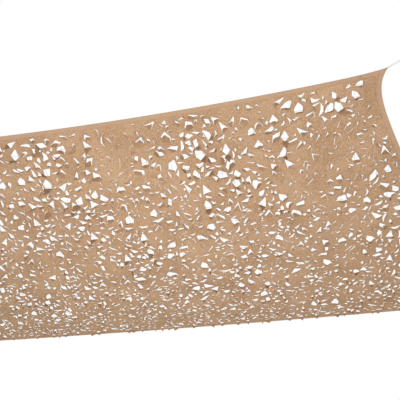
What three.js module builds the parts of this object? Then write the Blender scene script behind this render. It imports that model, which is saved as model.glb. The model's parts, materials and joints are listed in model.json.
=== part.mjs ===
// Shade sail: a trapezoid of leaf-cut netting, hung by a short rope and eye at each corner.
// Millimetres, +Z up, +X along the near edge, +Y from the near edge to the far one.
// The origin is where a hook bears in the near right eye.

import * as THREE from 'three';

// Sail
const NEAR_EDGE = 3000;
const FLARE = 860;
const DEPTH = 1900;
const SLOPE = THREE.MathUtils.degToRad(13.3);
const NET_THICKNESS = 1.5;

// How the edges hang between the corners
const EAR_DRAW = 96;
const EAR_RUN = 84;
const EAR_LIFT = 12;
const SIDE_BOW = 24;
const NEAR_BOW = 24;
const FAR_BOW = 36;
const NEAR_SAG = 45;
const FAR_SAG = 44;
const SIDE_SAG = 30;
const MIDDLE_SAG = 90;

// Soft tension folds: across is measured from the middle line, away from the near edge,
// bearing turns from +X towards +Y, and rise is up where it is above zero.
const FOLDS = [
  { across: -190, away: 480, bearing: 44, length: 420, width: 130, rise: -20 },
  { across: 635, away: 560, bearing: 28, length: 560, width: 130, rise: -24 },
  { across: 450, away: 860, bearing: 24, length: 600, width: 150, rise: 16 },
  { across: -480, away: 800, bearing: 40, length: 480, width: 150, rise: 14 },
  { across: 1180, away: 420, bearing: 112, length: 380, width: 120, rise: 12 },
  { across: -1180, away: 420, bearing: 68, length: 380, width: 120, rise: 12 },
  { across: 1600, away: 1420, bearing: 36, length: 480, width: 140, rise: -16 },
  { across: -1600, away: 1420, bearing: 144, length: 480, width: 140, rise: -16 },
  { across: 150, away: 1330, bearing: 8, length: 800, width: 150, rise: 14 },
];

// Leaf cuts: each repeat of the cutting has one lead leaf, its largest, which points to the near edge.
// The end repeats of the first rows are left plain, beside the drawn-out near corners.
const CUT_REPEAT = 152;
const CUT_ROWS = 12;
const ROWS_PER_BAND = 3;
const PLAIN_ROWS = 2;
const ROW_SEED = 100;
const LEAD_MARGIN = 42;
const LEAF_LENGTH = 56;
const LEAF_WIDTH = 46;
const LEAF_SPREAD = 0.3;
const LEAF_SKEW = 0.5;
const LEAF_BEARING = THREE.MathUtils.degToRad(-90);
const LEAF_TURN = THREE.MathUtils.degToRad(80);

// Outlines of the leaves: half width, as a share of the width, at shares of the length from the hinge
const LEAF_OUTLINES = [
  [{ along: 0, half: 0.08 }, { along: 0.4, half: 0.5 }, { along: 1, half: 0.05 }],
  [{ along: 0, half: 0.5 }, { along: 1, half: 0.05 }],
  [{ along: 0, half: 0.42 }, { along: 0.55, half: 0.5 }, { along: 1, half: 0.05 }],
];

// Binding: a plain strip folded over the raw edge
const BINDING_WIDTH = 24;
const BINDING_LAYER = 1.2;
const CLEARANCE = 0.8;
const RAW_EDGE_INSET = 5;
const UNCUT_MARGIN = 4;
const MITRE_GAP = 0.6;
const BINDING_STATIONS = 40;
const SIDE_STEPS = 2;
const CORNER_STEPS = 5;

// Corner ropes
const ROPE_DIAMETER = 8;
const ROPE_SIDES = 8;
const ROPE_LENGTH = 120;
const ROPE_SAG = 2;
const ROPE_STATIONS = 6;
const TIP_GAP = 0.4;
const KNOT_LENGTH = 36;
const KNOT_SIDES = 10;
const KNOT_PROFILE = [
  { share: 0, radius: 6.0 },
  { share: 0.12, radius: 9.8 },
  { share: 0.28, radius: 8.6 },
  { share: 0.42, radius: 11.0 },
  { share: 0.57, radius: 8.8 },
  { share: 0.74, radius: 10.6 },
  { share: 0.9, radius: 10.0 },
  { share: 1, radius: 8.6 },
];
const EYE_LENGTH = 82;
const EYE_SWELL = 27;
const EYE_STATIONS = 20;
const LEG_SPACING = 9;

const CORNERS = [
  { name: 'near_right', u: 1, v: 0, across: 1, away: -0.4, up: 0.2 },
  { name: 'near_left', u: 0, v: 0, across: -1, away: -0.4, up: 0.2 },
  { name: 'far_right', u: 1, v: 1, across: 1, away: 0.5, up: -0.06 },
  { name: 'far_left', u: 0, v: 1, across: -1, away: 0.5, up: -0.06 },
];

// Colours and finish
const NET_LOOK = { color: 0xbb997a, roughness: 0.85, metalness: 0 };
const BINDING_LOOK = { color: 0xd5ae8d, roughness: 0.85, metalness: 0 };
const ROPE_LOOK = { color: 0xe9e9e6, roughness: 0.7, metalness: 0 };

const UP = new THREE.Vector3(0, 0, 1);
const lerp = THREE.MathUtils.lerp;

// A fixed scatter between 0 and 1, so that the uneven cutting is the same each time.
function scatter(index, channel) {
  const value = Math.sin(index * 12.9898 + channel * 78.233) * 43758.5453;
  return value - Math.floor(value);
}

// Half of the sail's width at share v of its depth, ears and bow included.
function halfWidth(v) {
  const nearEar = 1 - Math.exp((-v * DEPTH) / EAR_RUN);
  const farEar = 1 - Math.exp((-(1 - v) * DEPTH) / EAR_RUN);
  return NEAR_EDGE / 2 + FLARE * v - EAR_DRAW * nearEar * farEar - SIDE_BOW * 4 * v * (1 - v);
}

function foldRise(across, away) {
  let rise = 0;
  for (const fold of FOLDS) {
    const bearing = THREE.MathUtils.degToRad(fold.bearing);
    const dx = across - fold.across;
    const dy = away - fold.away;
    const along = (dx * Math.cos(bearing) + dy * Math.sin(bearing)) / fold.length;
    const aside = (dy * Math.cos(bearing) - dx * Math.sin(bearing)) / fold.width;
    rise += fold.rise * Math.exp(-along * along - aside * aside);
  }
  return rise;
}

// Middle surface of the hanging cloth: u runs from the left edge to the right, v from near to far.
function hang(u, v) {
  const across = (2 * u - 1) * halfWidth(v);
  const hump = 4 * u * (1 - u);
  const belly = 4 * v * (1 - v);
  const ear = EAR_LIFT * (1 - Math.exp((Math.abs(across) - halfWidth(v)) / EAR_RUN));
  const away = v * DEPTH + (NEAR_BOW * hump + ear) * (1 - v) - (FAR_BOW * hump + ear) * v;
  const sag = hump * lerp(NEAR_SAG, FAR_SAG, v) + belly * (SIDE_SAG + MIDDLE_SAG * hump);
  const lift = foldRise(across, v * DEPTH) * Math.min(1, 2 * belly) * Math.min(1, 2 * hump);
  return new THREE.Vector3(across, away * Math.cos(SLOPE), lift - sag - away * Math.sin(SLOPE));
}

function ropeDirection(corner) {
  return new THREE.Vector3(corner.across, corner.away, corner.up).normalize();
}

// Distances along a corner's rope line, from the tip of the cloth outwards
const KNOT_START = TIP_GAP + ROPE_LENGTH + TIP_GAP;
const EYE_START = KNOT_START + KNOT_LENGTH + TIP_GAP;
const HOOK_REACH = EYE_START + EYE_LENGTH - ROPE_DIAMETER / 2;

// The near right eye's hook point is the origin, and the sail is placed from it.
const HOOK_CORNER = CORNERS[0];
const HOOK_TIP = hang(HOOK_CORNER.u, HOOK_CORNER.v);
const PLACE = HOOK_TIP.addScaledVector(ropeDirection(HOOK_CORNER), HOOK_REACH).negate();

function clothPoint(u, v) {
  return hang(u, v).add(PLACE);
}

function clothNormal(u, v) {
  const step = 1e-4;
  const uLow = Math.min(u, 1 - step);
  const vLow = Math.min(v, 1 - step);
  const alongU = hang(uLow + step, v).sub(hang(uLow, v));
  const alongV = hang(u, vLow + step).sub(hang(u, vLow));
  return alongU.cross(alongV).normalize();
}

// The point at a height over the middle surface
function raised(u, v, height) {
  return clothPoint(u, v).addScaledVector(clothNormal(u, v), height);
}

// Shares of width and depth that lie a given distance inside the edges
const SIDE_SLANT = Math.hypot(FLARE, DEPTH) / DEPTH;

function insetAcross(distance, v) {
  return (distance * SIDE_SLANT) / (2 * halfWidth(v));
}

function insetAway(distance) {
  return distance / DEPTH;
}

function meshOf(name, positions, look) {
  const geometry = new THREE.BufferGeometry();
  geometry.setAttribute('position', new THREE.Float32BufferAttribute(positions, 3));
  geometry.computeVertexNormals();
  const mesh = new THREE.Mesh(geometry, new THREE.MeshStandardMaterial(look));
  mesh.name = name;
  return mesh;
}

function pushTriangle(positions, a, b, c) {
  positions.push(a.x, a.y, a.z, b.x, b.y, b.z, c.x, c.y, c.z);
}

// A closed skin through rings of points, each ring counter-clockwise seen from the end.
function loft(rings, capTriangles) {
  const positions = [];
  const count = rings[0].length;
  for (let i = 0; i + 1 < rings.length; i += 1) {
    for (let k = 0; k < count; k += 1) {
      const next = (k + 1) % count;
      pushTriangle(positions, rings[i][k], rings[i][next], rings[i + 1][next]);
      pushTriangle(positions, rings[i][k], rings[i + 1][next], rings[i + 1][k]);
    }
  }
  const first = rings[0];
  const last = rings[rings.length - 1];
  for (const [a, b, c] of capTriangles) {
    pushTriangle(positions, first[c], first[b], first[a]);
    pushTriangle(positions, last[a], last[b], last[c]);
  }
  return positions;
}

function fanTriangles(count) {
  const triangles = [];
  for (let k = 1; k + 1 < count; k += 1) {
    triangles.push([0, k, k + 1]);
  }
  return triangles;
}

// A flat layout of cloth that is thickened to both sides of the middle surface
class Sheet {
  constructor() {
    this.points = [];
    this.lookup = new Map();
    this.triangles = [];
  }

  add(u, v) {
    const key = `${u.toFixed(9)},${v.toFixed(9)}`;
    if (!this.lookup.has(key)) {
      this.lookup.set(key, this.points.length);
      this.points.push([u, v]);
    }
    return this.lookup.get(key);
  }

  // A patch without an opening, from its outline
  fill(outline) {
    for (const [a, b, c] of fanTriangles(outline.length)) {
      this.triangles.push([outline[a], outline[b], outline[c]]);
    }
  }

  // A patch without an opening, as a fan about one of its inner points
  fan(outline, centre) {
    for (let k = 0; k < outline.length; k += 1) {
      this.triangles.push([outline[k].id, outline[(k + 1) % outline.length].id, centre]);
    }
  }

  // A ring between an outline and an opening, joined in the order of their angles about one centre
  ring(outer, inner) {
    let i = 0;
    let j = 0;
    while (i < outer.length || j < inner.length) {
      const outerNow = outer[i % outer.length];
      const innerNow = inner[j % inner.length];
      const outerNext = outer[(i + 1) % outer.length];
      const innerNext = inner[(j + 1) % inner.length];
      const outerAngle = outerNext.angle + (i + 1 >= outer.length ? 2 * Math.PI : 0);
      const innerAngle = innerNext.angle + (j + 1 >= inner.length ? 2 * Math.PI : 0);
      const takeOuter = j >= inner.length || (i < outer.length && outerAngle <= innerAngle);
      if (takeOuter) {
        this.triangles.push([outerNow.id, outerNext.id, innerNow.id]);
        i += 1;
      } else {
        this.triangles.push([outerNow.id, innerNext.id, innerNow.id]);
        j += 1;
      }
    }
  }

  thicken(thickness) {
    const top = this.points.map(([u, v]) => raised(u, v, thickness / 2));
    const bottom = this.points.map(([u, v]) => raised(u, v, -thickness / 2));
    const edges = new Set();
    for (const [a, b, c] of this.triangles) {
      edges.add(`${a},${b}`).add(`${b},${c}`).add(`${c},${a}`);
    }
    const positions = [];
    for (const [a, b, c] of this.triangles) {
      pushTriangle(positions, top[a], top[b], top[c]);
      pushTriangle(positions, bottom[c], bottom[b], bottom[a]);
      for (const [from, to] of [[a, b], [b, c], [c, a]]) {
        if (!edges.has(`${to},${from}`)) {
          pushTriangle(positions, top[from], bottom[from], bottom[to]);
          pushTriangle(positions, top[from], bottom[to], top[to]);
        }
      }
    }
    return positions;
  }
}

// Net panel
const CUT_INSET = BINDING_WIDTH + UNCUT_MARGIN;
const FIRST_CUT = insetAway(CUT_INSET);
const CUT_DEPTH = (DEPTH - 2 * CUT_INSET) / CUT_ROWS;

function rowLine(row) {
  return lerp(FIRST_CUT, 1 - FIRST_CUT, row / CUT_ROWS);
}

// The share of the full width at a share of the cut width
function cutAcross(share, v) {
  const inset = insetAcross(CUT_INSET, v);
  return lerp(inset, 1 - inset, share);
}

function cutWidth(v) {
  return 2 * halfWidth(v) * (1 - 2 * insetAcross(CUT_INSET, v));
}

// Repeats in a row: rows go in bands that share one count.
function columnsIn(row) {
  const band = Math.floor(row / ROWS_PER_BAND);
  const middle = (band + 0.5) * ROWS_PER_BAND;
  return Math.round(cutWidth(rowLine(middle)) / CUT_REPEAT);
}

function sharesOnLine(line) {
  const counts = [];
  if (line > 0) {
    counts.push(columnsIn(line - 1));
  }
  if (line < CUT_ROWS) {
    counts.push(columnsIn(line));
  }
  const shares = new Set();
  for (const count of counts) {
    for (let k = 0; k <= count; k += 1) {
      shares.add(Number((k / count).toFixed(9)));
    }
  }
  return [...shares].sort((a, b) => a - b);
}

// Extra stations down the sides, closer together where the corners draw out
function sideStations(row) {
  const steps = row === 0 || row === CUT_ROWS - 1 ? CORNER_STEPS : SIDE_STEPS;
  const stations = [];
  for (let k = 1; k < steps; k += 1) {
    stations.push(lerp(rowLine(row), rowLine(row + 1), k / steps));
  }
  return stations;
}

// The centre of a repeat's lead leaf, in shares of the repeat
function leafCentre(seed) {
  const edgeAcross = LEAD_MARGIN / CUT_REPEAT;
  const edgeAway = LEAD_MARGIN / CUT_DEPTH;
  return {
    across: lerp(edgeAcross, 1 - edgeAcross, scatter(seed, 1)),
    away: lerp(edgeAway, 1 - edgeAway, scatter(seed, 2)),
  };
}

// The corners of a lead leaf's cut, in millimetres about its centre
function leafCorners(seed) {
  const outline = LEAF_OUTLINES[Math.floor(scatter(seed, 6) * LEAF_OUTLINES.length)];
  const bearing = LEAF_BEARING + LEAF_TURN * (scatter(seed, 3) - 0.5);
  const length = LEAF_LENGTH * (1 + LEAF_SPREAD * (scatter(seed, 4) - 0.5));
  const width = LEAF_WIDTH * (1 + LEAF_SPREAD * (scatter(seed, 5) - 0.5));
  const skew = LEAF_SKEW * (scatter(seed, 7) - 0.5);
  const corners = [];
  for (const side of [1, -1]) {
    for (const { along, half } of outline) {
      const forward = (along - 0.5) * length;
      const aside = (side * half + skew * (along - 0.5)) * width;
      corners.push({
        dx: forward * Math.cos(bearing) - aside * Math.sin(bearing),
        dy: forward * Math.sin(bearing) + aside * Math.cos(bearing),
      });
    }
  }
  return corners;
}

function turnSorted(list) {
  for (const item of list) {
    item.angle = Math.atan2(item.dy, item.dx) + Math.PI;
  }
  return list.sort((a, b) => a.angle - b.angle);
}

function cutRepeat(sheet, row, column) {
  const columns = columnsIn(row);
  const seed = row * ROW_SEED + column;
  const centre = leafCentre(seed);
  const width = cutWidth(rowLine(row + 0.5)) / columns;
  const place = (share, v) => sheet.add(cutAcross(share, v), v);
  const shareOf = (local) => Number(((column + local) / columns).toFixed(9));
  const toAcross = (share) => (share * columns - column - centre.across) * width;
  const toAway = (v) => ((v - rowLine(row)) / (rowLine(row + 1) - rowLine(row)) - centre.away) * CUT_DEPTH;
  const outer = [];
  for (const line of [row, row + 1]) {
    for (const share of sharesOnLine(line)) {
      if (share >= shareOf(0) && share <= shareOf(1)) {
        outer.push({ id: place(share, rowLine(line)), dx: toAcross(share), dy: toAway(rowLine(line)) });
      }
    }
  }
  for (const local of [0, 1]) {
    const onSide = column + local === 0 || column + local === columns;
    for (const v of onSide ? sideStations(row) : []) {
      outer.push({ id: place(shareOf(local), v), dx: toAcross(shareOf(local)), dy: toAway(v) });
    }
  }
  const inside = (dx, dy) => {
    const away = centre.away + dy / CUT_DEPTH;
    const v = lerp(rowLine(row), rowLine(row + 1), away);
    const share = (column + centre.across + dx / width) / columns;
    return place(share, v);
  };
  if (row < PLAIN_ROWS && (column === 0 || column === columns - 1)) {
    sheet.fan(turnSorted(outer), inside(0, 0));
    return;
  }
  const inner = leafCorners(seed).map(({ dx, dy }) => ({ id: inside(dx, dy), dx, dy }));
  sheet.ring(turnSorted(outer), turnSorted(inner));
}

function addSideMargins(sheet) {
  const stations = [];
  for (let row = 0; row < CUT_ROWS; row += 1) {
    stations.push(rowLine(row), ...sideStations(row));
  }
  stations.push(rowLine(CUT_ROWS));
  for (let k = 0; k + 1 < stations.length; k += 1) {
    const [v0, v1] = [stations[k], stations[k + 1]];
    const rawEdge = (v) => insetAcross(RAW_EDGE_INSET, v);
    const left = [sheet.add(rawEdge(v0), v0), sheet.add(cutAcross(0, v0), v0)];
    left.push(sheet.add(cutAcross(0, v1), v1), sheet.add(rawEdge(v1), v1));
    const right = [sheet.add(cutAcross(1, v0), v0), sheet.add(1 - rawEdge(v0), v0)];
    right.push(sheet.add(1 - rawEdge(v1), v1), sheet.add(cutAcross(1, v1), v1));
    sheet.fill(left);
    sheet.fill(right);
  }
}

// The strips of cloth without openings along the near and far edges
function addEndMargins(sheet) {
  for (const [line, isFar] of [[0, false], [CUT_ROWS, true]]) {
    const vCut = rowLine(line);
    const vEdge = isFar ? 1 - insetAway(RAW_EDGE_INSET) : insetAway(RAW_EDGE_INSET);
    const rawCut = insetAcross(RAW_EDGE_INSET, vCut);
    const rawEdge = insetAcross(RAW_EDGE_INSET, vEdge);
    const shares = [null, ...sharesOnLine(line), null];
    const pairs = shares.map((share, k) => {
      const isLeft = k === 0;
      const uCut = share === null ? (isLeft ? rawCut : 1 - rawCut) : cutAcross(share, vCut);
      const uEdge = share === null ? (isLeft ? rawEdge : 1 - rawEdge) : cutAcross(share, vEdge);
      return [sheet.add(uEdge, vEdge), sheet.add(uCut, vCut)];
    });
    for (let k = 0; k + 1 < pairs.length; k += 1) {
      const outline = [pairs[k][0], pairs[k + 1][0], pairs[k + 1][1], pairs[k][1]];
      sheet.fill(isFar ? outline.reverse() : outline);
    }
  }
}

function makeNet() {
  const sheet = new Sheet();
  for (let row = 0; row < CUT_ROWS; row += 1) {
    for (let column = 0; column < columnsIn(row); column += 1) {
      cutRepeat(sheet, row, column);
    }
  }
  addSideMargins(sheet);
  addEndMargins(sheet);
  return meshOf('net', sheet.thicken(NET_THICKNESS), NET_LOOK);
}

// Binding section: two layers round the net's raw edge, joined at the fold
const INNER_HEIGHT = NET_THICKNESS / 2 + CLEARANCE;
const OUTER_HEIGHT = INNER_HEIGHT + BINDING_LAYER;
const BINDING_SECTION = [
  { inward: 0, height: -OUTER_HEIGHT },
  { inward: BINDING_WIDTH, height: -OUTER_HEIGHT },
  { inward: BINDING_WIDTH, height: -INNER_HEIGHT },
  { inward: BINDING_LAYER, height: -INNER_HEIGHT },
  { inward: BINDING_LAYER, height: INNER_HEIGHT },
  { inward: BINDING_WIDTH, height: INNER_HEIGHT },
  { inward: BINDING_WIDTH, height: OUTER_HEIGHT },
  { inward: 0, height: OUTER_HEIGHT },
];

// A place on the strip of one edge: its share along the strip and its distance inward
const STRIP_PLACES = {
  near(share, inward) {
    const v = insetAway(inward);
    const end = insetAcross(inward + MITRE_GAP, v);
    return [lerp(end, 1 - end, share), v];
  },
  far(share, inward) {
    const v = 1 - insetAway(inward);
    const end = insetAcross(inward + MITRE_GAP, v);
    return [lerp(1 - end, end, share), v];
  },
  right(share, inward) {
    const end = insetAway(inward + MITRE_GAP);
    const v = lerp(end, 1 - end, share);
    return [1 - insetAcross(inward, v), v];
  },
  left(share, inward) {
    const end = insetAway(inward + MITRE_GAP);
    const v = lerp(1 - end, end, share);
    return [insetAcross(inward, v), v];
  },
};

function makeBinding(edge) {
  const rings = [];
  for (let k = 0; k <= BINDING_STATIONS; k += 1) {
    const share = (1 - Math.cos((Math.PI * k) / BINDING_STATIONS)) / 2;
    const ring = BINDING_SECTION.map(({ inward, height }) => {
      const [u, v] = STRIP_PLACES[edge](share, inward);
      return raised(u, v, height);
    });
    rings.push(ring);
  }
  const outline = BINDING_SECTION.map(({ inward, height }) => new THREE.Vector2(inward, height));
  const cap = THREE.ShapeUtils.triangulateShape(outline, []);
  return meshOf(`binding_${edge}`, loft(rings, cap), BINDING_LOOK);
}

// A ring of points round a centre, in the plane across the heading
function ringAround(centre, heading, across, radius, sides) {
  const aside = new THREE.Vector3().crossVectors(heading, across).normalize();
  const level = new THREE.Vector3().crossVectors(aside, heading).normalize();
  const ring = [];
  for (let k = 0; k < sides; k += 1) {
    const angle = (2 * Math.PI * k) / sides;
    const point = centre.clone();
    point.addScaledVector(level, radius * Math.cos(angle));
    point.addScaledVector(aside, radius * Math.sin(angle));
    ring.push(point);
  }
  return ring;
}

// The line of a corner's rope: its start at the tip, its heading and the level direction across it
function ropeLine(corner) {
  const heading = ropeDirection(corner);
  const level = new THREE.Vector3().crossVectors(heading, UP).normalize();
  return { tip: clothPoint(corner.u, corner.v), heading, level };
}

// A tube of rope along a curve through the given points
function ropeTube(name, points, steps) {
  const section = new THREE.Shape();
  section.absarc(0, 0, ROPE_DIAMETER / 2, 0, 2 * Math.PI);
  const path = new THREE.CatmullRomCurve3(points);
  const options = { steps, extrudePath: path, curveSegments: ROPE_SIDES / 2 };
  const geometry = new THREE.ExtrudeGeometry(section, options);
  const mesh = new THREE.Mesh(geometry, new THREE.MeshStandardMaterial(ROPE_LOOK));
  mesh.name = name;
  return mesh;
}

function makeRope(corner) {
  const { tip, heading } = ropeLine(corner);
  const points = [];
  for (let k = 0; k <= ROPE_STATIONS; k += 1) {
    const share = k / ROPE_STATIONS;
    const point = tip.clone().addScaledVector(heading, TIP_GAP + ROPE_LENGTH * share);
    points.push(point.addScaledVector(UP, -ROPE_SAG * 4 * share * (1 - share)));
  }
  return ropeTube(`rope_${corner.name}`, points, ROPE_STATIONS);
}

function makeKnot(corner) {
  const { tip, heading, level } = ropeLine(corner);
  const rings = KNOT_PROFILE.map(({ share, radius }) => {
    const centre = tip.clone().addScaledVector(heading, KNOT_START + KNOT_LENGTH * share);
    return ringAround(centre, heading, level, radius, KNOT_SIDES);
  });
  return meshOf(`knot_${corner.name}`, loft(rings, fanTriangles(KNOT_SIDES)), ROPE_LOOK);
}

// The eye is a level teardrop whose two legs enter the knot side by side.
function makeEye(corner) {
  const { tip, heading, level } = ropeLine(corner);
  const eyePoint = (share, aside) => {
    const point = tip.clone().addScaledVector(heading, EYE_START + EYE_LENGTH * share);
    return point.addScaledVector(level, aside);
  };
  const points = [eyePoint(0, LEG_SPACING / 2)];
  for (let k = 1; k < EYE_STATIONS; k += 1) {
    const turn = (2 * Math.PI * k) / EYE_STATIONS;
    const share = (1 - Math.cos(turn)) / 2;
    const bulge = EYE_SWELL * Math.sin(turn) * share;
    points.push(eyePoint(share, bulge + (LEG_SPACING / 2) * Math.cos(turn / 2)));
  }
  points.push(eyePoint(0, -LEG_SPACING / 2));
  return ropeTube(`eye_${corner.name}`, points, EYE_STATIONS);
}

const sail = new THREE.Group();
sail.name = 'shade_sail';
sail.add(makeNet());
for (const edge of Object.keys(STRIP_PLACES)) {
  sail.add(makeBinding(edge));
}
for (const corner of CORNERS) {
  sail.add(makeRope(corner), makeKnot(corner), makeEye(corner));
}

export default sail;
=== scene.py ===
"""Shade sail of leaf-cut netting, with bound edges and a rope eye at each corner.

Metres, +Z up, in the packed part's frame: +X runs along the near edge and +Y away from it.
The flat layout of the cloth has x across from its middle line and y away from its near edge.
"""

import json
import math

import bmesh
import bpy
import numpy as np
from bpy.props import FloatProperty, IntProperty, PointerProperty, StringProperty
from bpy.types import NodeSocket, Operator, Panel, PropertyGroup
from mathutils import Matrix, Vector
from mathutils.geometry import delaunay_2d_cdt
from mathutils.kdtree import KDTree


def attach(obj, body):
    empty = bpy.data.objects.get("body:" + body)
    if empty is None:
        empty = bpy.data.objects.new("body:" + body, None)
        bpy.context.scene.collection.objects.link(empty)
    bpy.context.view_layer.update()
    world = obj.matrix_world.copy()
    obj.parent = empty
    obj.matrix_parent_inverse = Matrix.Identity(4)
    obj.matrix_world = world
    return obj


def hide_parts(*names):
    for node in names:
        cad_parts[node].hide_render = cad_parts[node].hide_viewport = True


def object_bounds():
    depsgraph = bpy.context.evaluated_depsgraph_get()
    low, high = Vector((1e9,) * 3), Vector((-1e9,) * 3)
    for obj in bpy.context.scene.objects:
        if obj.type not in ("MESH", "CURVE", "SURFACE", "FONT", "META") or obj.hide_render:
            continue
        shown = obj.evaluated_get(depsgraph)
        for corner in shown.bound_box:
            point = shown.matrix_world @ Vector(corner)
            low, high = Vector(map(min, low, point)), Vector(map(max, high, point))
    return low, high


bl_info = {
    "name": "Leaf-cut shade sail",
    "version": (1, 0, 0),
    "blender": (4, 5, 0),
    "location": "View3D > Sidebar > Shade sail",
    "description": "Makes a hung sail of leaf-cut netting with its bindings, stitches and corner ropes",
    "category": "Add Mesh",
}

# The packed part, its box and the body that every piece rides on
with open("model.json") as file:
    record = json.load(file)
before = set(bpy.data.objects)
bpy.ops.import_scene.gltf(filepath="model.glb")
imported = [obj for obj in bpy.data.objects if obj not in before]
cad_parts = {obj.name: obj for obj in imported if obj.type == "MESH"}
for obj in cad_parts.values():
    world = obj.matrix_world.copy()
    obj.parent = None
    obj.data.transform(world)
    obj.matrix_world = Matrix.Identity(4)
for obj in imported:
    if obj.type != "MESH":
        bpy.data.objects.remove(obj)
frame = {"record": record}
CAD_LOW, CAD_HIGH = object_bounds()
BODY = "root"

# Millimetres in a metre
MM = 1000

# Fixed scatter: its rates for an index and a channel, and the span whose fraction is taken
SCATTER_INDEX = 12.9898
SCATTER_CHANNEL = 78.233
SCATTER_SPAN = 43758.5453

# Corners of the sail, each with the mount that its rope eye hangs on, and its edges
CORNERS = ("near_right", "near_left", "far_right", "far_left")
MOUNTS = {mount["name"]: mount for mount in frame["record"]["mounts"]}
EDGES = ("near", "far", "right", "left")

# Soft tension folds, in millimetres and degrees: the bearing turns from +X towards +Y
FOLD_COLUMNS = ("across", "away", "bearing", "length", "width", "rise")
FOLDS = (
    (-190, 480, 44, 420, 130, -20),
    (635, 560, 28, 560, 130, -24),
    (450, 860, 24, 600, 150, 16),
    (-480, 800, 40, 480, 150, 14),
    (1180, 420, 112, 380, 120, 12),
    (-1180, 420, 68, 380, 120, 12),
    (1600, 1420, 36, 480, 140, -16),
    (-1600, 1420, 144, 480, 140, -16),
    (150, 1330, 8, 800, 150, 14),
)

# Sharper creases in the visible cloth, in the same columns as the folds
CREASES = (
    (1382, 100, 83, 90, 16, -13),
    (-1382, 100, 97, 90, 16, -13),
)

# Where the leaves open more than elsewhere, or less: rise is the share added to their opening
OPEN_PATCHES = (
    (-330, 75, 8, 200, 60, 0.5),
    (-190, 450, 49, 210, 85, 0.5),
    (550, 235, 50, 160, 120, 0.7),
    (690, 465, 19, 240, 80, 0.65),
    (900, 610, 50, 170, 70, 0.45),
    (1225, 80, 10, 150, 75, 0.7),
    (1170, 45, 4, 230, 35, 0.7),
    (961, 225, 60, 120, 75, 0.4),
    (1540, 950, 0, 130, 120, 0.3),
    (90, 850, 30, 200, 110, 0.3),
    (-310, 250, 60, 140, 100, 0.25),
    (50, 230, 105, 230, 75, -0.8),
    (220, 90, 5, 190, 60, -0.45),
    (885, 75, 10, 120, 50, -0.4),
    (860, 340, 30, 80, 60, -0.4),
    (1000, 530, 60, 80, 70, -0.6),
    (1240, 350, 0, 150, 100, -0.35),
    (1120, 500, 80, 180, 100, -0.6),
    (1300, 820, 90, 350, 170, -0.3),
    (1420, 110, 95, 110, 55, -2.0),
    (-1420, 110, 85, 110, 55, -2.0),
    (-750, 880, 10, 260, 150, -0.25),
    (0, 120, 0, 6000, 280, 0.08),
)

# Outlines of the leaves: shares along from the hinge, and of the width to the left and right sides
LEAF_OUTLINES = {
    "kite": ((0.0, 0.08, 0.08), (0.4, 0.5, 0.5), (1.0, 0.05, 0.05)),
    "wedge": ((0.0, 0.5, 0.5), (1.0, 0.05, 0.05)),
    "house": ((0.0, 0.42, 0.42), (0.55, 0.5, 0.5), (1.0, 0.05, 0.05)),
    "slab": ((0.0, 0.45, 0.3), (1.0, 0.3, 0.45)),
    "hook": ((0.0, 0.4, 0.3), (0.5, -0.1, 0.5), (1.0, -0.3, 0.36)),
    "tongue": ((0.0, 0.4, 0.4), (0.25, 0.5, 0.46), (0.75, 0.42, 0.26), (1.0, 0.16, 0.06)),
    "sickle": ((0.0, 0.3, 0.3), (0.25, 0.12, 0.46), (0.75, -0.14, 0.46), (1.0, -0.26, 0.32)),
}

# Shares along a leaf at which it always has points
LEAF_STATIONS = (0.0, 0.25, 0.5, 0.75, 1.0)

# Layout of the leaves: seeds, outlines of the lead leaves, bearing to the near edge and size of a search bin
ROW_SEED = 100
LAYOUT_SEED = 11
LEAD_SHAPES = 3
NEARWARD = -math.pi / 2
BIN_SIZE = 0.13

# A long leaf is kept less often than a short one, least often far away, and both more often in an open patch
LONG_LEAF = 0.034
LONG_CHANCE = 0.6
LONG_GAIN = 1.5
SHORT_GAIN = 0.5
FAR_THINNING = 0.9

# Fringe along the far edge: gap to the uncut edge, ranges of its steps and sizes, and radians of its turns
FRINGE_GAP = 0.002
FRINGE_STEPS = (0.04, 0.17)
FRINGE_ASPECTS = (0.7, 2.0)
FRINGE_LENGTHS = (0.02, 0.029)
FRINGE_TURN = 0.5

# How far leaves open, and the degrees of bend at their hinge that go with it
OPENING_STEPS = (0.29, 0.35, 0.69, 1.0, 1.4)
OPENING_BENDS = (1, 12, 32, 55, 95)
HINGE_SPREAD = 14
FRINGE_BEND = 112

# Added to the opening: of the lead leaves, and at the far edge of the long leaves and of the others
LEAD_EASE = 0.1
FAR_EASE = -0.65
FAR_LIFT = 0.25

# For leaves that are shut, open or in the fringe: degrees of curl, range of roll, and curl of the sides
SHUT, OPEN, FRINGE = range(3)
CURLS = ((3, 18), (10, 45), (20, 35))
ROLLS = (2.0, 2.6, 0.25)
CUPS = (0.6, 1.0, 0.2)

# How deep the curled sides of a leaf go, and how much they narrow it
CUP_DEPTH = 0.7
CUP_NARROWING = 0.4

# Leaves hang little lower than the solids: their roll is held back, and their bends are eased in rounds
BEND_SEED = 23
BEND_DRAWS = 7
HANG_BELOW = 0.02
ROLL_ROOM = 0.45
EASING_ROUNDS = 25
EASING_STEP = 0.88

# A share of the leaves that head away from the near edge hangs above the cloth
UPPER_HEADING = 0.3
UPPER_SHARE = 0.5

# Painted shade: leaves are darker the more they bend out of the cloth, up to a full bend in radians
LEAF_PAINTED_SHADE = -0.6
PAINTED_SHADE_BEND = 0.8

# Flat cloth without its leaves: inset and steps of its raw edge, and how close two cuts count as touching
OUTLINE_INSET = 0.005
OUTLINE_STEPS = 140
CUT_TOLERANCE = 1e-7

# Points that fill the cloth in even triangles: their steps across and away, and how far they clear a leaf
FILL_STEP = 0.015
FILL_ROW = FILL_STEP * math.sqrt(0.75)
FILL_CLEARANCE = 1.3

# Hanging surface: its grid, the run over which it becomes free to ripple, and its map
HANGING_COLUMNS = 400
HANGING_ROWS = 180
FREE_RUN = 0.07
FLAT_SPAN = 5.0
TO_MAP = (1 / FLAT_SPAN, 1 / FLAT_SPAN, 0)
MAP_SHIFT = (0.5, 0, 0)

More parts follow.
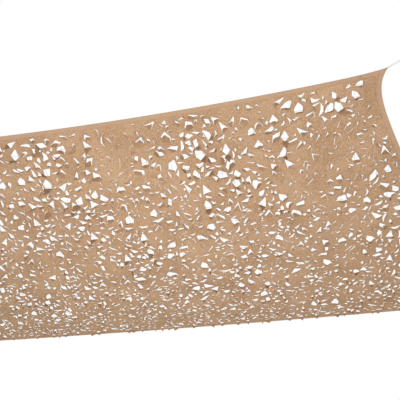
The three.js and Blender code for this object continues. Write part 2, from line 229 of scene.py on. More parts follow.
# Backing net: share of the binding that it reaches under, step along a thread, and height over the cloth
BACKING_TUCK = 0.7
BACKING_STEP = 0.015
BACKING_HEIGHT = 0.0035

# Degrees round a backing thread's section, and the soft waves in which the threads lie
BACKING_SECTION = (90, 210, 330)
BACKING_SWAY = 0.004
BACKING_WAVES = ((7, 9), (11, -8))

# Values that the net's points carry through its tree
LEAF_FIELDS = {
    "leaf_place": "FLOAT_VECTOR",
    "base": "FLOAT_VECTOR",
    "heading": "FLOAT_VECTOR",
    "aside": "FLOAT_VECTOR",
    "length": "FLOAT",
    "width": "FLOAT",
    "skew": "FLOAT",
    "shape": "INT",
    "hinge": "FLOAT",
    "curl": "FLOAT",
    "side": "FLOAT",
    "roll": "FLOAT",
    "cup": "FLOAT",
    "flat": "FLOAT_VECTOR",
    "drop": "FLOAT",
    "free": "FLOAT",
    "UVMap": "FLOAT_VECTOR",
}

# Steps that lay a leaf flat and bend it: name, node, operation, and the values or named steps that go in
NUMBER = "ShaderNodeMath"
VECTOR = "ShaderNodeVectorMath"
LEAF_STEPS = (
    # The leaf on the flat cloth, skewed a little to one side
    ("middle", NUMBER, "SUBTRACT", "along", 0.5),
    ("skewed", NUMBER, "MULTIPLY_ADD", "skew", "middle", "off_share"),
    ("off", NUMBER, "MULTIPLY", "skewed", "width"),
    ("run", NUMBER, "MULTIPLY", "along", "length"),
    ("flat_line", VECTOR, "MULTIPLY_ADD", "heading", "run", "base"),
    ("flat_place", VECTOR, "MULTIPLY_ADD", "aside", "off", "flat_line"),
    # The leaf bent along an arc that starts at the hinge's angle
    ("angle", NUMBER, "MULTIPLY_ADD", "curl", "along", "hinge"),
    ("radius", NUMBER, "DIVIDE", "length", "curl"),
    ("end_sine", NUMBER, "SINE", "angle"),
    ("end_cosine", NUMBER, "COSINE", "angle"),
    ("start_sine", NUMBER, "SINE", "hinge"),
    ("start_cosine", NUMBER, "COSINE", "hinge"),
    ("rise", NUMBER, "SUBTRACT", "end_sine", "start_sine"),
    ("dip", NUMBER, "SUBTRACT", "start_cosine", "end_cosine"),
    ("forward", NUMBER, "MULTIPLY", "rise", "radius"),
    ("fall", NUMBER, "MULTIPLY", "dip", "radius"),
    # Its sides curl away from the cloth towards the tip, which narrows it, and it rolls a little
    ("cupped", NUMBER, "MULTIPLY", "cup", "along"),
    ("squared", NUMBER, "MULTIPLY", "skewed", "off"),
    ("cup_depth", NUMBER, "MULTIPLY", "squared", CUP_DEPTH),
    ("cup_fall", NUMBER, "MULTIPLY_ADD", "cupped", "cup_depth", "fall"),
    ("narrowing", NUMBER, "MULTIPLY_ADD", "cupped", -CUP_NARROWING, 1.0),
    ("bent_off", NUMBER, "MULTIPLY", "off", "narrowing"),
    ("rolled", NUMBER, "MULTIPLY", "roll", "off"),
    ("tilt", NUMBER, "MULTIPLY", "rolled", "along"),
    ("leaf_drop", NUMBER, "MULTIPLY_ADD", "side", "cup_fall", "tilt"),
    ("bent_line", VECTOR, "MULTIPLY_ADD", "heading", "forward", "base"),
    ("bent_place", VECTOR, "MULTIPLY_ADD", "aside", "bent_off", "bent_line"),
)

# Section of one layer of a binding: share of its width inward, and shares of its heights
LAYER_COLUMNS = ("inward", "outer", "inner")
LAYER_ROWS = (
    (1.0, 0.42, 0.08),
    (0.93, 0.66, 0.3),
    (0.83, 0.86, 0.7),
    (0.7, 0.98, 0.95),
    (0.4, 1.0, 1.0),
    (0.15, 1.0, 1.0),
)

# Binding: degrees round its fold, stations along it, and the height, rate and phase of its puckers
FOLD_TURNS = (67.5, 45, 22.5, 0, -22.5, -45, -67.5)
STRIP_STATIONS = 180
PUCKER_WAVES = ((1.0, 1.0, 0.0), (0.6, 0.37, 1.3))

# Stitch: shares of length and thickness at its rings, its sides, and a sewing line's stations and bare ends
STITCH_RINGS = ((-0.5, 0.35), (-0.28, 1.0), (0.28, 1.0), (0.5, 0.35))
STITCH_SIDES = 5
SEWING_STATIONS = 720
SEWING_ENDS = 2

# Laid rope: its strands, the grooves between them, the sides of its section and the step along it
STRANDS = 3
GROOVE_DEPTH = 0.22
GROOVE_SHARPNESS = 0.7
ROPE_SIDES = 24
ROPE_STEP = 0.0022

# Fewest steps along a rope, and the least slant from upright at which its section starts level
LEAST_STEPS = 4
LEAST_SLANT = 0.1

# Steps along the routes of a rope, an eye, one wrap of a knot and a leg inside it
ROUTE_STEPS = 16
EYE_STEPS = 64
WRAP_STEPS = 28
LEG_STEPS = 8

# Knot: radius of its strand, how close its wraps sit, how much they widen, and half the gap of the legs
KNOT_STRAND = 0.003
WRAP_SEAT = 0.8
WRAP_WIDENING = 0.003
LEG_INSET = 0.001

# Cloth patterns: length in millimetres, detail and roughness of uneven dyeing, flecks and slubs
CLOTH_NOISE = {
    "dye": (200, 3.0, 0.5),
    "fleck": (20, 4.0, 0.6),
    "slub": (100 / 13, 2.0, 0.5),
}

# Weight of the slubs, and the sums of the patterns that give the dark tone and the light one
SLUB_WEIGHT = 2.0
TONE_RANGE = (1.4, 2.4)

# Thread spacing in millimetres as it is drawn: the real 0.5 mm is too fine to show
NET_THREAD_MM = 3.0
BINDING_THREAD_MM = 2.0

# Lengths in millimetres of a thread's fibres, the patches of painted shade in a rope's grooves and its yarns,
# and the floor's clouds
FIBRE_MM = 10 / 7
GROOVE_SHADE_MM = 50 / 3
YARN_MM = 1.0
SCREED_MM = 1250

# A wave texture's length times its scale, and the sockets of a colour mix, which share their names
WAVE_LENGTH = math.pi / 10
MIX_FACTOR = 0
MIX_FROM = 6
MIX_TO = 7
MIX_RESULT = 2

# Camera that sees the sail from below
CAMERA_PLACE = (-0.8822, -1.2602, -1.8213)
CAMERA_PITCH = math.radians(38.71)
CAMERA_YAW = math.radians(10.58)
CAMERA_LENS = 38.5
CAMERA_SENSOR = 36.0

# Floor, backdrop and dome of light
FLOOR_DEPTH = 4.8
FLOOR_HALF = 30.0
FLOOR_CORNERS = ((-1, -1), (1, -1), (1, 1), (-1, 1))
BACKDROP_LIGHT = 1.0
BACKDROP_COLOUR = (1.0, 1.0, 1.0, 1.0)
DOME_LIGHT = 0.56
DOME_COLOUR = (1.0, 0.98, 0.93, 1.0)

# Soft lights: place, point they face, side length and power in watts
SOFT_LIGHTS = (
    ("sky", (-3.5, 4.6, 3.4), (-1.7, 1.0, -0.2), 3.0, 120),
    ("under", (-1.2, -1.1, -2.9), (-1.6, 0.7, -0.25), 2.5, 73),
)


def size(name, description, default):
    """A length in metres that a user may change."""
    return FloatProperty(name=name, description=description, default=default, unit="LENGTH")


def share(name, description, default):
    """A plain number that a user may change."""
    return FloatProperty(name=name, description=description, default=default)


def turn(name, description, degrees):
    """An angle that a user may change."""
    angle = math.radians(degrees)
    return FloatProperty(name=name, description=description, default=angle, subtype="ANGLE")


def tally(name, description, default):
    """A whole number that a user may change."""
    return IntProperty(name=name, description=description, default=default)


def tint(name, description, default):
    """A colour that a user may change, as an sRGB hex value."""
    return StringProperty(name=name, description=description, default=default)


class SailShape(PropertyGroup):
    """How the cloth was cut and how it hangs between its corners."""

    near_edge: size("Near edge", "Length of the near edge from tip to tip", 3.0)
    flare: size("Flare", "How much wider the far edge is at each end", 0.86)
    depth: size("Depth", "From the near edge to the far one", 1.9)
    slope: turn("Slope", "Fall of the sail from the near edge to the far one", 13.3)
    ear_draw: size("Ear draw", "How far the ropes draw each corner out", 0.096)
    ear_run: size("Ear run", "Distance over which a drawn corner fades", 0.084)
    ear_lift: size("Ear lift", "Bow of the edges beside a drawn corner", 0.012)
    side_bow: size("Side bow", "Inward bow of the left and right edges", 0.024)
    near_bow: size("Near bow", "Inward bow of the near edge", 0.024)
    far_bow: size("Far bow", "Inward bow of the far edge", 0.036)
    near_sag: size("Near sag", "Sag of the near edge", 0.045)
    far_sag: size("Far sag", "Sag of the far edge", 0.044)
    side_sag: size("Side sag", "Sag of the left and right edges", 0.03)
    middle_sag: size("Middle sag", "Further sag in the middle of the cloth", 0.09)


class LeafCut(PropertyGroup):
    """The leaves that are cut in the net, how they ripple it, and the backing net that shows through."""

    repeat: size("Repeat", "Width of one repeat of the cutting", 0.152)
    rows: tally("Rows", "Rows of repeats from near to far", 12)
    band: tally("Band", "Rows that share one count of repeats", 3)
    plain_rows: tally("Plain rows", "Rows with a plain repeat at each end", 2)
    edge_inset: size("Uncut edge", "Uncut cloth along each edge", 0.028)
    lead_margin: size("Lead margin", "From a lead leaf's centre to the repeat's border", 0.042)
    lead_length: size("Lead length", "Length of the largest leaf of a repeat", 0.056)
    lead_width: size("Lead width", "Width of the largest leaf of a repeat", 0.046)
    lead_spread: share("Lead spread", "How much the lead leaves' sizes vary", 0.3)
    lead_skew: share("Lead skew", "How far the lead leaves lean to one side", 0.5)
    lead_turn: turn("Lead turn", "Range of the lead leaves' bearings", 80)
    throws: tally("Throws", "Tries to place a smaller leaf", 22000)
    leaf_length: size("Leaf length", "Length of the longest of the smaller leaves", 0.056)
    leaf_spread: share("Leaf spread", "Share by which the shortest leaves are shorter", 0.74)
    small_bias: share("Small bias", "Below 1, more of the leaves are short", 0.6)
    least_aspect: share("Least aspect", "Width of the narrowest leaves for their length", 0.35)
    most_aspect: share("Most aspect", "Width of the widest leaves for their length", 0.95)
    near_widening: share("Near widening", "How much wider leaves are that point to the near edge", 0.45)
    leaf_skew: share("Leaf skew", "How far the smaller leaves lean to one side", 1.3)
    near_share: share("Near share", "Share of the smaller leaves that point to the near edge", 0.55)
    leaf_turn: turn("Leaf turn", "Range of those leaves' bearings", 120)
    wide_turn: turn("Wide turn", "Range of the other leaves' bearings", 240)
    backing_pitch: size("Backing pitch", "Side of a square of the backing net", 0.065)
    backing_thread: size("Backing thread", "Thickness of the backing net's threads", 0.0014)
    cut_gap: size("Bridge", "Least cloth left between two cuts", 0.004)
    lip_height: size("Lip height", "How far the cloth along a cut lifts or sinks", 0.0055)
    crumple_height: size("Crumple height", "How far the cut cloth ripples", 0.012)
    crumple_size: size("Crumple size", "Length of the ripples in the cut cloth", 0.07)


class EdgeBinding(PropertyGroup):
    """The plain strip that is folded over each edge and sewn down."""

    width: size("Width", "Width of the folded strip", 0.024)
    inner: size("Inner height", "From the net's middle to the strip's inner face", 0.00155)
    outer: size("Outer height", "From the net's middle to the strip's outer face", 0.00275)
    mitre_gap: size("Mitre gap", "Gap between two strips at a corner", 0.0003)
    pucker: size("Pucker", "Height of the ripples that the sewing draws", 0.0011)
    pucker_size: size("Pucker length", "Length of those ripples", 0.041)
    stitch_inset: size("Stitch line", "From the edge to the row of stitches", 0.02)
    stitch_pitch: size("Stitch pitch", "From one stitch to the next", 0.009)
    stitch_length: size("Stitch length", "Length of a stitch", 0.0062)
    stitch_thickness: size("Thread", "Thickness of the sewing thread", 0.0013)


class CornerRope(PropertyGroup):
    """The rope, knot and eye at each corner."""

    diameter: size("Diameter", "Diameter of the rope", 0.008)
    length: size("Length", "Rope from the corner's tip to the knot", 0.12)
    sag: size("Sag", "Sag of the rope", 0.002)
    tip_gap: size("Tip gap", "Gap between the tip, rope, knot and eye", 0.0004)
    knot_length: size("Knot length", "Length of the wrapped knot", 0.036)
    knot_turns: tally("Knot turns", "Wraps of the knot", 5)
    eye_length: size("Eye length", "Length of the eye", 0.082)
    eye_swell: size("Eye swell", "Half of the eye's bulge", 0.027)
    leg_spacing: size("Leg spacing", "Distance between the eye's legs at the knot", 0.009)
    lay_length: size("Lay length", "Length of one turn of the strands", 0.026)


class SailColours(PropertyGroup):
    """Colours as sRGB hex values."""

    net_light: tint("Net light", "Light tone of the net", "CCAA8A")
    # Painted shade on the bent leaves pulls them towards the net's dark tone
    net_dark: tint("Net dark", "Dark tone of the net", "A07D5E")
    binding_light: tint("Binding light", "Light tone of the binding", "C7A688")
    binding_dark: tint("Binding dark", "Dark tone of the binding", "B79679")
    thread: tint("Thread", "Sewing thread", "C4A182")
    backing: tint("Backing", "Threads of the backing net", "94A6AC")
    rope: tint("Rope", "Rope strands", "EEF0F3")
    # Painted shade in the rope's grooves between its strands
    rope_groove_shade: tint("Rope grooves", "Rope between its strands", "CED0D3")
    floor: tint("Floor", "Floor under the sail", "F2F0EC")


def linear(hex_colour):
    """Linear colour with alpha from an sRGB hex value."""
    channels = [int(hex_colour[k:k + 2], 16) / 255 for k in (0, 2, 4)]
    return [c / 12.92 if c <= 0.04045 else ((c + 0.055) / 1.055) ** 2.4 for c in channels] + [1.0]


def set_inputs(tree, node, inputs):
    """Links or sets a node's inputs by name or place."""
    for socket, value in inputs.items():
        if isinstance(value, NodeSocket):
            tree.links.new(value, node.inputs[socket])
        else:
            node.inputs[socket].default_value = value


def add(tree, kind, inputs=None, **settings):
    """Adds a node with its settings and inputs."""
    made = tree.nodes.new(kind)
    for name, value in settings.items():
        setattr(made, name, value)
    set_inputs(tree, made, inputs or {})
    return made


def scatter(index, channel):
    """A fixed scatter between 0 and 1, the same as in the part's solids."""
    value = math.sin(index * SCATTER_INDEX + channel * SCATTER_CHANNEL) * SCATTER_SPAN
    return value - math.floor(value)


def swell(table, x, y):
    """Sum of the soft ridges or patches of a table at flat places in metres."""
    total = np.zeros(np.shape(x))
    for row in table:
        patch = dict(zip(FOLD_COLUMNS, row))
        bearing = math.radians(patch["bearing"])
        dx = np.asarray(x) * MM - patch["across"]
        dy = np.asarray(y) * MM - patch["away"]
        along = (dx * math.cos(bearing) + dy * math.sin(bearing)) / patch["length"]
        aside = (dy * math.cos(bearing) - dx * math.sin(bearing)) / patch["width"]
        total = total + patch["rise"] * np.exp(-along**2 - aside**2)
    return total


# Shape of the hanging cloth

def half_width(sail, v):
    """Half of the sail's width at share v of its depth, ears and bow included."""
    near_ear = 1 - np.exp(-v * sail.depth / sail.ear_run)
    far_ear = 1 - np.exp(-(1 - v) * sail.depth / sail.ear_run)
    bow = sail.side_bow * 4 * v * (1 - v)
    return sail.near_edge / 2 + sail.flare * v - sail.ear_draw * near_ear * far_ear - bow


def side_slant(sail):
    """Distance across for each unit of distance in from a slanting side."""
    return math.hypot(sail.flare, sail.depth) / sail.depth


def rope_line(rope, corner):
    """Tip of the cloth, heading of the rope and the level direction across it, from the corner's mount."""
    mount = MOUNTS[f"eye_{corner}"]
    heading = Vector(mount["axis"]).normalized()
    eye_start = 3 * rope.tip_gap + rope.length + rope.knot_length
    reach = eye_start + rope.eye_length - rope.diameter / 2
    tip = Vector(mount["pos_m"]) - heading * reach
    level = heading.cross(Vector((0, 0, 1))).normalized()
    return tip, heading, level


def hung(context, x, y):
    """Where places of the flat layout hang, on the middle of the cloth."""
    sail = context.scene.sail_shape
    x = np.asarray(x, float)
    y = np.asarray(y, float)
    v = y / sail.depth
    half = half_width(sail, v)
    hump = 1 - (x / half) ** 2
    belly = 4 * v * (1 - v)
    ear = sail.ear_lift * (1 - np.exp((np.abs(x) - half) / sail.ear_run))
    away = y + (sail.near_bow * hump + ear) * (1 - v) - (sail.far_bow * hump + ear) * v
    edge_sag = hump * (sail.near_sag * (1 - v) + sail.far_sag * v)
    sag = edge_sag + belly * (sail.side_sag + sail.middle_sag * hump)
    fade = np.minimum(1, 2 * belly) * np.minimum(1, 2 * hump)
    lift = swell(FOLDS, x, y) / MM * fade
    tip = rope_line(context.scene.corner_rope, "near_right")[0]
    origin = np.array(tip) - np.array((sail.near_edge / 2, 0, 0))
    hung_y = away * math.cos(sail.slope)
    hung_z = lift - sag - away * math.sin(sail.slope)
    return np.stack([x, hung_y, hung_z], -1) + origin


def raised(context, x, y, height):
    """Places at a height over the middle of the hanging cloth."""
    step = 1e-4
    point = hung(context, x, y)
    across = hung(context, np.asarray(x) + step, y) - point
    away = hung(context, x, np.asarray(y) + step) - point
    normal = np.cross(across, away)
    normal /= np.linalg.norm(normal, axis=-1, keepdims=True)
    return point + normal * np.asarray(height)[..., None]


# Meshes and objects

def mesh_of(name, points, faces, edges=()):
    mesh = bpy.data.meshes.new(name)
    mesh.from_pydata([tuple(p) for p in points], list(edges), list(faces))
    mesh.update()
    return mesh


def place_object(name, mesh):
    made = bpy.data.objects.new(name, mesh)
    bpy.context.scene.collection.objects.link(made)
    return made


def finish_piece(piece, replaced, material=None):
    """Gives a piece its finish and says which body, material slot and solids it goes with."""
    if material is not None:
        piece.data.materials.clear()
        piece.data.materials.append(material)
    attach(piece, BODY)
    if replaced:
        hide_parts(*replaced)
    return piece


def grid_faces(rows, columns, wrap=False):
    """Quads of a grid of points in rows, closed round the columns where it wraps."""
    faces = []
    for i in range(rows - 1):
        low = i * columns
        high = low + columns
        for k in range(columns if wrap else columns - 1):
            after = (k + 1) % columns
            faces.append((low + k, low + after, high + after, high + k))
    return faces


def tube_faces(rings, sides, start=0):
    """Faces of a tube whose rings of points begin at a place in the mesh, with both ends closed."""
    faces = grid_faces(rings, sides, wrap=True)
    faces.append(tuple(range(sides)))
    faces.append(tuple(range((rings - 1) * sides, rings * sides)))
    return [tuple(start + index for index in face) for face in faces]


def face_outwards(mesh):
    """Turns the faces of closed shapes outwards."""
    editor = bmesh.new()
    editor.from_mesh(mesh)
    bmesh.ops.recalc_face_normals(editor, faces=editor.faces)
    editor.to_mesh(mesh)
    editor.free()


def set_uv(mesh, places):
    """A UV map from one place for each vertex."""
    layer = mesh.uv_layers.new(name="UVMap")
    corners = np.zeros(len(mesh.loops), np.int32)
    mesh.loops.foreach_get("vertex_index", corners)
    layer.data.foreach_set("uv", np.asarray(places, np.float32)[corners].ravel())


def set_attribute(mesh, name, kind, values):
    """A value of its own for each vertex."""
    attribute = mesh.attributes.new(name, kind, "POINT")
    field = "vector" if kind == "FLOAT_VECTOR" else "value"
    number = np.int32 if kind == "INT" else np.float32
    attribute.data.foreach_set(field, np.asarray(values, number).ravel())


def new_tree(name, sockets):
    """A geometry tree with its input and output, and named inputs for what it is given."""
    tree = bpy.data.node_groups.new(name, "GeometryNodeTree")
    tree.interface.new_socket("Geometry", in_out="INPUT", socket_type="NodeSocketGeometry")
    for socket_name, kind in sockets.items():
        tree.interface.new_socket(socket_name, in_out="INPUT", socket_type=kind)
    tree.interface.new_socket("Geometry", in_out="OUTPUT", socket_type="NodeSocketGeometry")
    return tree


def run_tree(name, source, tree, values):
    """Runs a tree on a mesh, with its named inputs set first, and keeps the result as a plain mesh."""
    carrier = bpy.data.objects.new(name, source)
    modifier = carrier.modifiers.new(tree.name, "NODES")
    modifier.node_group = tree
    for socket in tree.interface.items_tree:
        if socket.in_out == "INPUT" and socket.name in values:
            modifier[socket.identifier] = values[socket.name]
    bpy.context.scene.collection.objects.link(carrier)
    depsgraph = bpy.context.evaluated_depsgraph_get()
    evaluated = carrier.evaluated_get(depsgraph)
    result = bpy.data.meshes.new_from_object(evaluated, preserve_all_data_layers=True, depsgraph=depsgraph)
    carrier.modifiers.clear()
    carrier.data = result
    result.name = name
    if not len(result.polygons):
        raise RuntimeError(f"{tree.name} made no faces")
    return carrier


# Materials

def new_material(name):
    """A material with its node tree and its surface shader."""
    material = bpy.data.materials.new(name)
    material.use_nodes = True
    tree = material.node_tree
    return material, tree, tree.nodes["Principled BSDF"]


def woven_cloth(name, light, dark, thread_mm, painted_shade_attribute=None):
    """Woven polyester: matt and slightly uneven in tone, with a fine plain weave and a faint nap, and painted
    shade on the bent leaves when a shade attribute is given.
    """
    material, tree, shader = new_material(name)
    place = add(tree, "ShaderNodeTexCoord").outputs["UV"]
    flat = add(tree, "ShaderNodeMapping", {"Vector": place, "Scale": (FLAT_SPAN,) * 3}).outputs[0]
    noise = {}
    for pattern, (length_mm, detail, roughness) in CLOTH_NOISE.items():
        looks = {"Vector": flat, "Scale": MM / length_mm, "Detail": detail, "Roughness": roughness}
        noise[pattern] = add(tree, "ShaderNodeTexNoise", looks).outputs["Fac"]
    # The tone goes from dark to light with all three patterns, and painted shade darkens it where a leaf is
    # bent
    broad = add(tree, NUMBER, {0: noise["dye"], 1: noise["fleck"]}, operation="ADD").outputs[0]
    mottle = {0: noise["slub"], 1: SLUB_WEIGHT, 2: broad}
    uneven = add(tree, NUMBER, mottle, operation="MULTIPLY_ADD").outputs[0]
    least, most = TONE_RANGE
    tone = {"Value": uneven, "From Min": least, "From Max": most}
    factor = add(tree, "ShaderNodeMapRange", tone).outputs[0]
    # Painted shade: a bent leaf's value pulls its colour towards the dark tone
    if painted_shade_attribute:
        leaf = add(tree, "ShaderNodeAttribute", attribute_name=painted_shade_attribute).outputs["Fac"]
        factor = add(tree, NUMBER, {0: factor, 1: leaf}, operation="ADD").outputs[0]
    tones = {MIX_FACTOR: factor, MIX_FROM: linear(dark), MIX_TO: linear(light)}
    colour = add(tree, "ShaderNodeMix", tones, data_type="RGBA")
    # Warp and weft cross as raised threads, with the slubs on top
    threads = {"Vector": flat, "Scale": WAVE_LENGTH * MM / thread_mm}
    warp = add(tree, "ShaderNodeTexWave", threads, bands_direction="X").outputs["Fac"]
    weft = add(tree, "ShaderNodeTexWave", threads, bands_direction="Y").outputs["Fac"]
    weave = add(tree, NUMBER, {0: warp, 1: weft}, operation="MULTIPLY").outputs[0]
    relief = add(tree, NUMBER, {0: weave, 1: noise["slub"]}, operation="ADD").outputs[0]
    bump = add(tree, "ShaderNodeBump", {"Height": relief, "Strength": 0.5, "Distance": 0.0012})
    nap = {"Value": noise["fleck"], "To Min": 0.78, "To Max": 0.95}
    rough = add(tree, "ShaderNodeMapRange", nap)
    set_inputs(tree, shader, {
        "Base Color": colour.outputs[MIX_RESULT],
        "Normal": bump.outputs[0],
        "Roughness": rough.outputs[0],
        "IOR": 1.5,
        "Specular IOR Level": 0.25,
        "Sheen Weight": 0.03,
    })
    return material


def spun_thread(name, colour):
    """Spun polyester thread: a dull twisted strand with a little shine."""
    material, tree, shader = new_material(name)
    place = add(tree, "ShaderNodeTexCoord").outputs["Object"]
    fibres = {"Vector": place, "Scale": MM / FIBRE_MM, "Detail": 2.0}
    fibre = add(tree, "ShaderNodeTexNoise", fibres).outputs["Fac"]
    rough = add(tree, "ShaderNodeMapRange", {"Value": fibre, "To Min": 0.5, "To Max": 0.8})
    bump = add(tree, "ShaderNodeBump", {"Height": fibre, "Strength": 0.3, "Distance": 0.0002})
    set_inputs(tree, shader, {
        "Base Color": linear(colour),
        "Normal": bump.outputs[0],
        "Roughness": rough.outputs[0],
    })
    return material


def laid_rope(light, groove, lay_length):
    """Laid polyester rope: white strands with fine yarns, and painted shade, in patches, in the grooves
    between the strands.
    """
    material, tree, shader = new_material("laid_polyester_rope")
    place = add(tree, "ShaderNodeTexCoord").outputs
    # Painted shade: the rope is greyer in the grooves between its strands, in patches along it
    depth = add(tree, "ShaderNodeAttribute", attribute_name="groove").outputs["Fac"]
    groove_shade_looks = {"Vector": place["Object"], "Scale": MM / GROOVE_SHADE_MM, "Detail": 3.0}
    groove_shade_noise = add(tree, "ShaderNodeTexNoise", groove_shade_looks).outputs["Fac"]
    shade = add(tree, NUMBER, {0: depth, 1: groove_shade_noise}, operation="MULTIPLY").outputs[0]
    tones = {MIX_FACTOR: shade, MIX_FROM: linear(light), MIX_TO: linear(groove)}
    colour = add(tree, "ShaderNodeMix", tones, data_type="RGBA")
    # The yarns of a strand slant across it. The map is in turns of the lay.
    slant = {"Vector": place["UV"], "Scale": WAVE_LENGTH * lay_length * MM / YARN_MM}
    yarns = add(tree, "ShaderNodeTexWave", slant, bands_direction="DIAGONAL").outputs["Fac"]
    bump = add(tree, "ShaderNodeBump", {"Height": yarns, "Strength": 0.35, "Distance": 0.0003})
    set_inputs(tree, shader, {
        "Base Color": colour.outputs[MIX_RESULT],
        "Normal": bump.outputs[0],
        "Roughness": 0.62,
        "Sheen Weight": 0.1,
    })
    return material


def matt_floor(colour):
    """Painted screed: pale and matt, with the faintest cloudiness."""
    material, tree, shader = new_material("painted_screed")
    place = add(tree, "ShaderNodeTexCoord").outputs["Object"]
    clouds = {"Vector": place, "Scale": MM / SCREED_MM, "Detail": 4.0}
    cloud = add(tree, "ShaderNodeTexNoise", clouds).outputs["Fac"]
    rough = add(tree, "ShaderNodeMapRange", {"Value": cloud, "To Min": 0.8, "To Max": 0.95})
    set_inputs(tree, shader, {"Base Color": linear(colour), "Roughness": rough.outputs[0]})
    return material


# Stage

def make_camera(context):
    data = bpy.data.cameras.new("photo_camera")
    data.lens = CAMERA_LENS
    data.sensor_width = CAMERA_SENSOR
    camera = place_object("photo_camera", data)
    camera.location = CAMERA_PLACE
    camera.rotation_euler = (math.pi / 2 + CAMERA_PITCH, 0, CAMERA_YAW)
    context.scene.camera = camera


def make_world(context):
    """A white backdrop where the camera looks past the sail, and a soft warm dome of light for the rest."""
    world = bpy.data.worlds.new("studio_dome")
    world.use_nodes = True
    context.scene.world = world
    tree = world.node_tree
    seen = add(tree, "ShaderNodeLightPath").outputs["Is Camera Ray"]
    lights = {"Value": seen, "To Min": DOME_LIGHT, "To Max": BACKDROP_LIGHT}
    strength = add(tree, "ShaderNodeMapRange", lights)
    tones = {MIX_FACTOR: seen, MIX_FROM: DOME_COLOUR, MIX_TO: BACKDROP_COLOUR}
    colour = add(tree, "ShaderNodeMix", tones, data_type="RGBA")
    set_inputs(tree, tree.nodes["Background"], {
        "Strength": strength.outputs[0],
        "Color": colour.outputs[MIX_RESULT],
    })


def make_light(name, place, faces, side, power):
    data = bpy.data.lights.new(f"{name}_light", "AREA")
    data.size = side
    data.energy = power
    light = place_object(f"{name}_light", data)
    light.location = place
    light.rotation_mode = "QUATERNION"
    light.rotation_quaternion = (Vector(faces) - Vector(place)).to_track_quat("-Z", "Y")


class SHADE_SAIL_OT_stage(Operator):
    """Set up the camera, soft light, white backdrop and pale floor"""

    bl_idname = "shade_sail.stage"
    bl_label = "Stage"

    def execute(self, context):
        context.scene.view_settings.view_transform = "Standard"
        make_camera(context)
        make_world(context)
        for light in SOFT_LIGHTS:
            make_light(*light)
        middle = (CAD_LOW + CAD_HIGH) / 2
        points = []
        for across, away in FLOOR_CORNERS:
            points.append((middle.x + FLOOR_HALF * across, middle.y + FLOOR_HALF * away, -FLOOR_DEPTH))
        floor = place_object("floor", mesh_of("floor", points, [(0, 1, 2, 3)]))
        floor.data.materials.append(matt_floor(context.scene.sail_colours.floor))
        return {"FINISHED"}


# Ropes

def even_path(points, step):
    """Points at even steps along a line through the given ones."""
    points = np.asarray(points, float)
    runs = np.linalg.norm(np.diff(points, axis=0), axis=1)
    travelled = np.concatenate([[0], np.cumsum(runs)])
    steps = max(int(travelled[-1] / step), LEAST_STEPS)
    stops = np.linspace(0, travelled[-1], steps + 1)
    return np.stack([np.interp(stops, travelled, points[:, axis]) for axis in range(3)], 1)


def laid_tube(path, radius, lay_length):
    """Rings of points, map places and groove depths of a rope of laid strands along a path."""
    path = even_path(path, ROPE_STEP)
    tangents = np.gradient(path, axis=0)
    tangents /= np.linalg.norm(tangents, axis=1)[:, None]
    side = np.cross(tangents[0], (0.0, 0.0, 1.0))
    if np.linalg.norm(side) < LEAST_SLANT:
        side = np.cross(tangents[0], (0.0, 1.0, 0.0))
    angles = np.linspace(0, 2 * math.pi, ROPE_SIDES, endpoint=False)
    points = []
    places = []
    grooves = []
    travelled = 0.0
    for k, (centre, tangent) in enumerate(zip(path, tangents)):
        if k:
            travelled += np.linalg.norm(centre - path[k - 1])
        side = side - tangent * (side @ tangent)
        side /= np.linalg.norm(side)
        up = np.cross(tangent, side)
        phase = angles - 2 * math.pi * travelled / lay_length
        groove = 1 - np.abs(np.cos(STRANDS / 2 * phase)) ** GROOVE_SHARPNESS
        reach = radius * (1 - GROOVE_DEPTH * groove)
        spokes = np.cos(angles)[:, None] * side + np.sin(angles)[:, None] * up
        points.extend(centre + reach[:, None] * spokes)
        grooves.extend(groove)
        places.extend((travelled / lay_length, angle / (2 * math.pi)) for angle in angles)
    return points, places, grooves


def rope_piece(name, paths, material, lay_length):
    """One piece of rope made of one or more laid tubes, each with a path and a radius."""
    points, faces, places, grooves = [], [], [], []
    for path, radius in paths:
        tube_points, tube_places, tube_grooves = laid_tube(path, radius, lay_length)
        faces.extend(tube_faces(len(tube_points) // ROPE_SIDES, ROPE_SIDES, start=len(points)))
        points.extend(tube_points)
        places.extend(tube_places)
        grooves.extend(tube_grooves)
    mesh = mesh_of(name, points, faces)
    face_outwards(mesh)
    set_uv(mesh, places)
    set_attribute(mesh, "groove", "FLOAT", grooves)
    mesh.shade_smooth()
    return finish_piece(place_object(f"laid_{name}", mesh), [name], material)


def rope_route(rope, corner):
    """Points of a corner's rope from the tip of the cloth to its knot, with a slight sag."""
    tip, heading, _ = rope_line(rope, corner)
    points = []
    for k in range(ROUTE_STEPS + 1):
        part = k / ROUTE_STEPS
        drop = rope.sag * 4 * part * (1 - part)
        points.append(tip + heading * (rope.tip_gap + rope.length * part) - Vector((0, 0, drop)))
    return points


def eye_route(rope, corner):
    """Points round the level teardrop of an eye, from one leg at the knot to the other."""
    tip, heading, level = rope_line(rope, corner)
    start = tip + heading * (3 * rope.tip_gap + rope.length + rope.knot_length)
    points = []
    for k in range(EYE_STEPS + 1):
        angle = 2 * math.pi * k / EYE_STEPS
        part = (1 - math.cos(angle)) / 2
        aside = rope.eye_swell * math.sin(angle) * part + rope.leg_spacing / 2 * math.cos(angle / 2)
        points.append(start + heading * rope.eye_length * part + level * aside)
    return points


